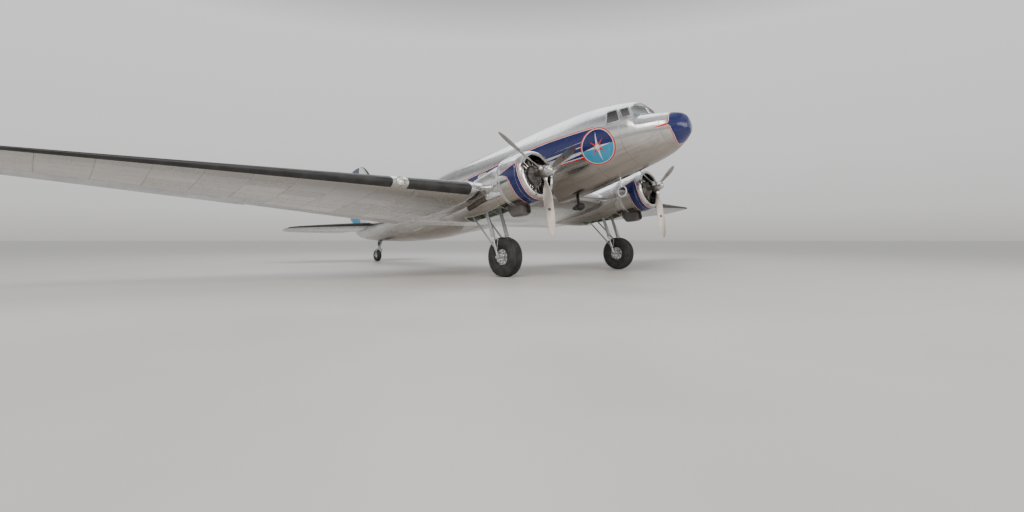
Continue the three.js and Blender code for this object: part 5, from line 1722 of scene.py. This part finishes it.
def build_fin():
    skin = lofted([fin_ring(z) for z in (*arange(0.76, 3.3, 0.08), *(3.3 + 0.44 * rounding(14)))])
    skin = carved(skin, moved(hollow(RUDDER, 0.4), RUDDER_PLACE))
    boot = leading_boot([*arange(1.5, 3.3, 0.12), *(3.3 + 0.36 * rounding(8, 1.3))], fin_ring, 0.075)
    piece("fin_skin", {"tail": skin, "formed": fin_dorsal()}, "fin")
    piece("fin_boot", {"boot": boot}, slot="tyre_rubber")


def build_rudder():
    rows = fine_rows(RUDDER, 40)
    split = np.count_nonzero(rows[:, 0] <= 2.5)
    edge = rows[split, 0]
    kit = {"rudder": [control_surface(rows[:split + 1], (True, False))],
           "band": [control_surface(rows[split:], (False, True))],
           "steel": hinge_pins(rows[0, 0], rows[-1, 0], 0.03, TAIL_PIN),
           "sky": [trim_tab(rows, 0.45, 1.75, 0.16)], "red": [], "white": []}
    marks = (("white", -0.024, 0.002, (0.46, 0.26, 0.095), 0.002),
             ("red", -0.07, -0.024, (0.4, 0.2, 0.075), 0.0035))
    for surface in (rudder_side(-1, rows), rudder_side(1, rows)):
        for paint, low, high, sizes, lift in marks:
            loop = [(u + 1.35, v + 0.66) for u, v in star(*sizes)]
            kit[paint] += [rudder_strip(surface, rows, edge + low, edge + high),
                           patch(loop, surface, 0.06, (), lift, 0.004)]
    piece("rudder_skin", placed(kit, RUDDER_PLACE), "rudder", "rudder", "light_blue_paint")


def build_tailplanes():
    stations = (*arange(0.06, 3.7, 0.12), *(3.7 + 0.34 * rounding(12)))
    skin = carved(lofted([tailplane_ring(x) for x in stations]), moved(hollow(ELEVATOR, 0.4), ELEVATOR_PLACE))
    boot = leading_boot([*arange(0.5, 3.7, 0.15), *(3.7 + 0.28 * rounding(8, 1.3))], tailplane_ring, 0.08)
    rows = fine_rows(ELEVATOR, 44)
    kit = {"silver_fabric": [control_surface(rows)], "formed": [trim_tab(rows, 1.1, 2.3, 0.15)],
           "steel": hinge_pins(rows[0, 0], rows[-1, 0], 0.03, TAIL_PIN)}
    pair("tailplane_skin_{}", {"tail": skin}, "tailplane_{}")
    pair("tailplane_boot_{}", {"boot": boot}, slot="tyre_rubber")
    pair("elevator_skin_{}", placed(kit, ELEVATOR_PLACE), "elevator_{}", "elevator_{}")


# Aerials

def build_aerials():
    housing = ((-0.23, 0.001), (-0.226, 0.016), (-0.215, 0.04), (-0.185, 0.07), (-0.15, 0.092), (-0.1, 0.11),
               (-0.06, 0.118), (0, 0.115), (0.06, 0.1), (0.13, 0.078), (0.2, 0.055), (0.26, 0.028),
               (0.3, 0.001))
    mast = lofted([[(0.022 * cos(a), 4.03 + 0.06 * sin(a), z) for a in full_turn(24)]
                   for z in (-1.52, -1.44, -1.2, -1.16)])
    kit = {"dark": [turned(housing, "y", (0, 4.03, -1.56), 40), mast],
           "steel": hoop((0, 4.09, -1.56), 0.1, 0.003, 40, 8)}
    piece("finder_housing", kit, "direction_finder", slot="dark_metal")
    foot = ((-1.33, 0.001), (-1.33, 0.026), (-1.31, 0.03), (-1.28, 0.022), (-1.08, 0.022), (-1.06, 0.04),
            (-1, 0.045), (-1, 0.001))
    kit = {"white": hoop((0, 2.37, -1.46), 0.15, 0.0168, 60, 16, "x"),
           "formed": turned(foot, "z", (0, 2.37, 0), 28)}
    piece("loop_antenna", kit, "loop_aerial", slot="dark_metal")


# The add-on: settings, one operator for each group of pieces, a stage and a panel

COLOUR = {"subtype": "COLOR", "size": 4, "min": 0, "max": 1}
DONE = {"FINISHED"}


class AirlinerPaint(PropertyGroup):
    """Colours of the livery."""

    band: FloatVectorProperty(
        name="Band", description="Colour of the band, the nose cap and the cowling rings",
        **COLOUR, default=(0.008, 0.014, 0.115, 1))
    sky: FloatVectorProperty(
        name="Sky", description="Colour of the rudder and the lower half of the roundel",
        **COLOUR, default=(0.045, 0.35, 0.6, 1))
    red: FloatVectorProperty(
        name="Trim", description="Colour of the thin edge lines and the stars",
        **COLOUR, default=(0.78, 0.035, 0.012, 1))
    white: FloatVectorProperty(
        name="White", description="Colour of the inner edge lines",
        **COLOUR, default=(0.82, 0.82, 0.8, 1))


class AirlinerStage(PropertyGroup):
    """Camera and lights."""

    focal: FloatProperty(
        name="Focal length", description="Focal length of the camera on a 36 mm wide sensor",
        default=18.03, min=8, max=200, unit="CAMERA")
    camera_place: FloatVectorProperty(
        name="Camera place", description="Where the camera stands", size=3, unit="LENGTH",
        default=(-12.893, -16.383, 1.072))
    heading: FloatProperty(
        name="Heading", description="Direction the camera looks, turned from straight aft toward port",
        default=radians(43.84), unit="ROTATION")
    key_power: FloatProperty(
        name="Key light", description="Power of the largest light", default=2600, min=0, unit="POWER")
    world_strength: FloatProperty(
        name="Surroundings", description="Brightness of the pale surroundings", default=0.95, min=0)


class AirlinerSettings(PropertyGroup):
    """All settings of the airliner."""

    paint: PointerProperty(type=AirlinerPaint, name="Paint", description="Colours of the livery")
    stage: PointerProperty(type=AirlinerStage, name="Stage", description="Camera and lights")


class AIRLINER_OT_fuselage(Operator):
    """Build the fuselage skin, the doorway's lining and the nose cap."""

    bl_idname = "airliner.fuselage"
    bl_label = "Fuselage"

    def execute(self, context):
        build_fuselage()
        return DONE


class AIRLINER_OT_livery(Operator):
    """Lay the painted band, the speed stripes and the star roundel on both sides."""

    bl_idname = "airliner.livery"
    bl_label = "Livery"

    def execute(self, context):
        build_livery()
        return DONE


class AIRLINER_OT_windows(Operator):
    """Fit the cabin windows and the cockpit panes."""

    bl_idname = "airliner.windows"
    bl_label = "Windows"

    def execute(self, context):
        build_windows()
        return DONE


class AIRLINER_OT_door(Operator):
    """Hang the passenger door."""

    bl_idname = "airliner.door"
    bl_label = "Passenger Door"

    def execute(self, context):
        build_door()
        return DONE


class AIRLINER_OT_centre_wing(Operator):
    """Build the wing's centre section and its root fillets."""

    bl_idname = "airliner.centre_wing"
    bl_label = "Centre Wing"

    def execute(self, context):
        build_centre_wing()
        return DONE


class AIRLINER_OT_outer_wings(Operator):
    """Build the outer wings with their straps, boots and lamps."""

    bl_idname = "airliner.outer_wings"
    bl_label = "Outer Wings"

    def execute(self, context):
        build_outer_wings()
        return DONE


class AIRLINER_OT_wing_controls(Operator):
    """Hang the ailerons and the split flaps."""

    bl_idname = "airliner.wing_controls"
    bl_label = "Ailerons and Flaps"

    def execute(self, context):
        build_wing_controls()
        return DONE


class AIRLINER_OT_nacelles(Operator):
    """Build the nacelles with their wheel wells."""

    bl_idname = "airliner.nacelles"
    bl_label = "Nacelles"

    def execute(self, context):
        build_nacelles()
        return DONE


class AIRLINER_OT_cowlings(Operator):
    """Build the cowlings and their painted rings."""

    bl_idname = "airliner.cowlings"
    bl_label = "Cowlings"

    def execute(self, context):
        build_cowlings()
        return DONE


class AIRLINER_OT_engines(Operator):
    """Build the radial engines with their scoops, coolers and exhausts."""

    bl_idname = "airliner.engines"
    bl_label = "Engines"

    def execute(self, context):
        build_engines()
        return DONE


class AIRLINER_OT_propellers(Operator):
    """Build the propellers."""

    bl_idname = "airliner.propellers"
    bl_label = "Propellers"

    def execute(self, context):
        build_propellers()
        return DONE


class AIRLINER_OT_main_gear(Operator):
    """Build the main gear legs, wheels and tyres."""

    bl_idname = "airliner.main_gear"
    bl_label = "Main Gear"

    def execute(self, context):
        build_main_gear()
        return DONE


class AIRLINER_OT_tail_gear(Operator):
    """Build the tail wheel, its fork and its strut."""

    bl_idname = "airliner.tail_gear"
    bl_label = "Tail Gear"

    def execute(self, context):
        build_tail_gear()
        return DONE


class AIRLINER_OT_fin(Operator):
    """Build the fin and the rudder."""

    bl_idname = "airliner.fin"
    bl_label = "Fin and Rudder"

    def execute(self, context):
        build_fin()
        build_rudder()
        return DONE


class AIRLINER_OT_tailplanes(Operator):
    """Build the tailplanes and the elevators."""

    bl_idname = "airliner.tailplanes"
    bl_label = "Tailplanes and Elevators"

    def execute(self, context):
        build_tailplanes()
        return DONE


class AIRLINER_OT_aerials(Operator):
    """Build the two aerials under the nose."""

    bl_idname = "airliner.aerials"
    bl_label = "Aerials"

    def execute(self, context):
        build_aerials()
        return DONE


def area_light(name, place, target, width, height, power, colour):
    lamp = bpy.data.lights.new(name, "AREA")
    lamp.shape, lamp.size, lamp.size_y = "RECTANGLE", width, height
    lamp.energy, lamp.color = power, colour
    obj = linked(name, lamp)
    obj.location = place
    obj.rotation_euler = (Vector(target) - obj.location).to_track_quat("-Z", "Y").to_euler()


def studio_floor():
    """A wide pale floor with faint wear."""
    mesh = bpy.data.meshes.new("studio_floor")
    mesh.from_pydata([(x, y, 0) for x, y in polar(500, full_turn(96))], [], [tuple(range(96))])
    mesh.materials.append(two_tone(Graph("studio_floor"), (0.6, 0.575, 0.545), (0.67, 0.645, 0.61),
                                   (0.35, 5), (30, 3), (0.001, 0.2), (0.38, 0.5)))
    return linked("studio_floor", mesh)


def surroundings(strength):
    """A soft studio sky: pale above, warmer and dimmer toward the floor."""
    world = bpy.data.worlds.new("studio")
    world.use_nodes = True
    tree = world.node_tree
    shader = tree.nodes["Background"]
    coordinates, split = tree.nodes.new("ShaderNodeTexCoord"), tree.nodes.new("ShaderNodeSeparateXYZ")
    ramp = tree.nodes.new("ShaderNodeValToRGB")
    tree.links.new(coordinates.outputs["Generated"], split.inputs[0])
    tree.links.new(split.outputs[2], ramp.inputs[0])
    tree.links.new(ramp.outputs[0], shader.inputs["Color"])
    bands = ((0, (0.62, 0.6, 0.58)), (0.05, (0.8, 0.79, 0.78)), (0.16, (0.92, 0.92, 0.92)),
             (0.36, (1, 1, 1)), (0.5, (0.24, 0.24, 0.25)), (0.64, (0.9, 0.92, 0.95)),
             (0.84, (0.3, 0.3, 0.32)), (1, (0.8, 0.82, 0.85)))
    steps = ramp.color_ramp.elements
    for place, colour in bands[1:-1]:
        steps.new(place)
    for element, (place, colour) in zip(steps, bands):
        element.position, element.color = place, (*colour, 1)
    shader.inputs["Strength"].default_value = strength
    bpy.context.scene.world = world


def build_stage():
    stage = settings().stage
    camera = bpy.data.cameras.new("camera")
    camera.lens, camera.sensor_width = stage.focal, 36
    camera.shift_y = -0.0161
    camera.clip_end = 1500
    eye = linked("camera", camera)
    eye.location = stage.camera_place
    eye.rotation_euler = (radians(90), 0, -stage.heading)
    bpy.context.scene.camera = eye
    area_light("key_light", (-16, -14, 17), (0, -2, 2), 14, 10, stage.key_power, (1, 0.95, 0.88))
    area_light("front_light", (2, -26, 9), (0, -4, 2), 16, 6, stage.key_power * 0.5, (1, 0.97, 0.92))
    area_light("top_light", (6, 6, 18), (0, 2, 1), 22, 16, stage.key_power * 0.7, (0.93, 0.97, 1))
    surroundings(stage.world_strength)
    studio_floor()


class AIRLINER_OT_stage(Operator):
    """Set the camera, the lights, the floor and the pale surroundings."""

    bl_idname = "airliner.stage"
    bl_label = "Stage"

    def execute(self, context):
        build_stage()
        return DONE


OPERATORS = (
    AIRLINER_OT_fuselage, AIRLINER_OT_livery, AIRLINER_OT_windows, AIRLINER_OT_door, AIRLINER_OT_centre_wing,
    AIRLINER_OT_outer_wings, AIRLINER_OT_wing_controls, AIRLINER_OT_nacelles, AIRLINER_OT_cowlings,
    AIRLINER_OT_engines, AIRLINER_OT_propellers, AIRLINER_OT_main_gear, AIRLINER_OT_tail_gear,
    AIRLINER_OT_fin, AIRLINER_OT_tailplanes, AIRLINER_OT_aerials, AIRLINER_OT_stage,
)


class AIRLINER_PT_panel(Panel):
    """The airliner's settings and build buttons."""

    bl_idname = "AIRLINER_PT_panel"
    bl_label = "Airliner"
    bl_space_type = "VIEW_3D"
    bl_region_type = "UI"
    bl_category = "Airliner"

    def draw(self, context):
        for group in (context.scene.airliner.paint, context.scene.airliner.stage):
            box = self.layout.box()
            for key in group.bl_rna.properties.keys():
                if key not in {"rna_type", "name"}:
                    box.prop(group, key)
        for operator in OPERATORS:
            self.layout.operator(operator.bl_idname)


CLASSES = (AirlinerPaint, AirlinerStage, AirlinerSettings, *OPERATORS, AIRLINER_PT_panel)


def register():
    for cls in CLASSES:
        bpy.utils.register_class(cls)
    bpy.types.Scene.airliner = PointerProperty(
        type=AirlinerSettings, name="Airliner", description="Settings of the airliner")


def unregister():
    del bpy.types.Scene.airliner
    for cls in reversed(CLASSES):
        bpy.utils.unregister_class(cls)


def main():
    register()
    for operator in OPERATORS:
        group, name = operator.bl_idname.split(".")
        getattr(getattr(bpy.ops, group), name)()


if __name__ == "__main__":
    main()
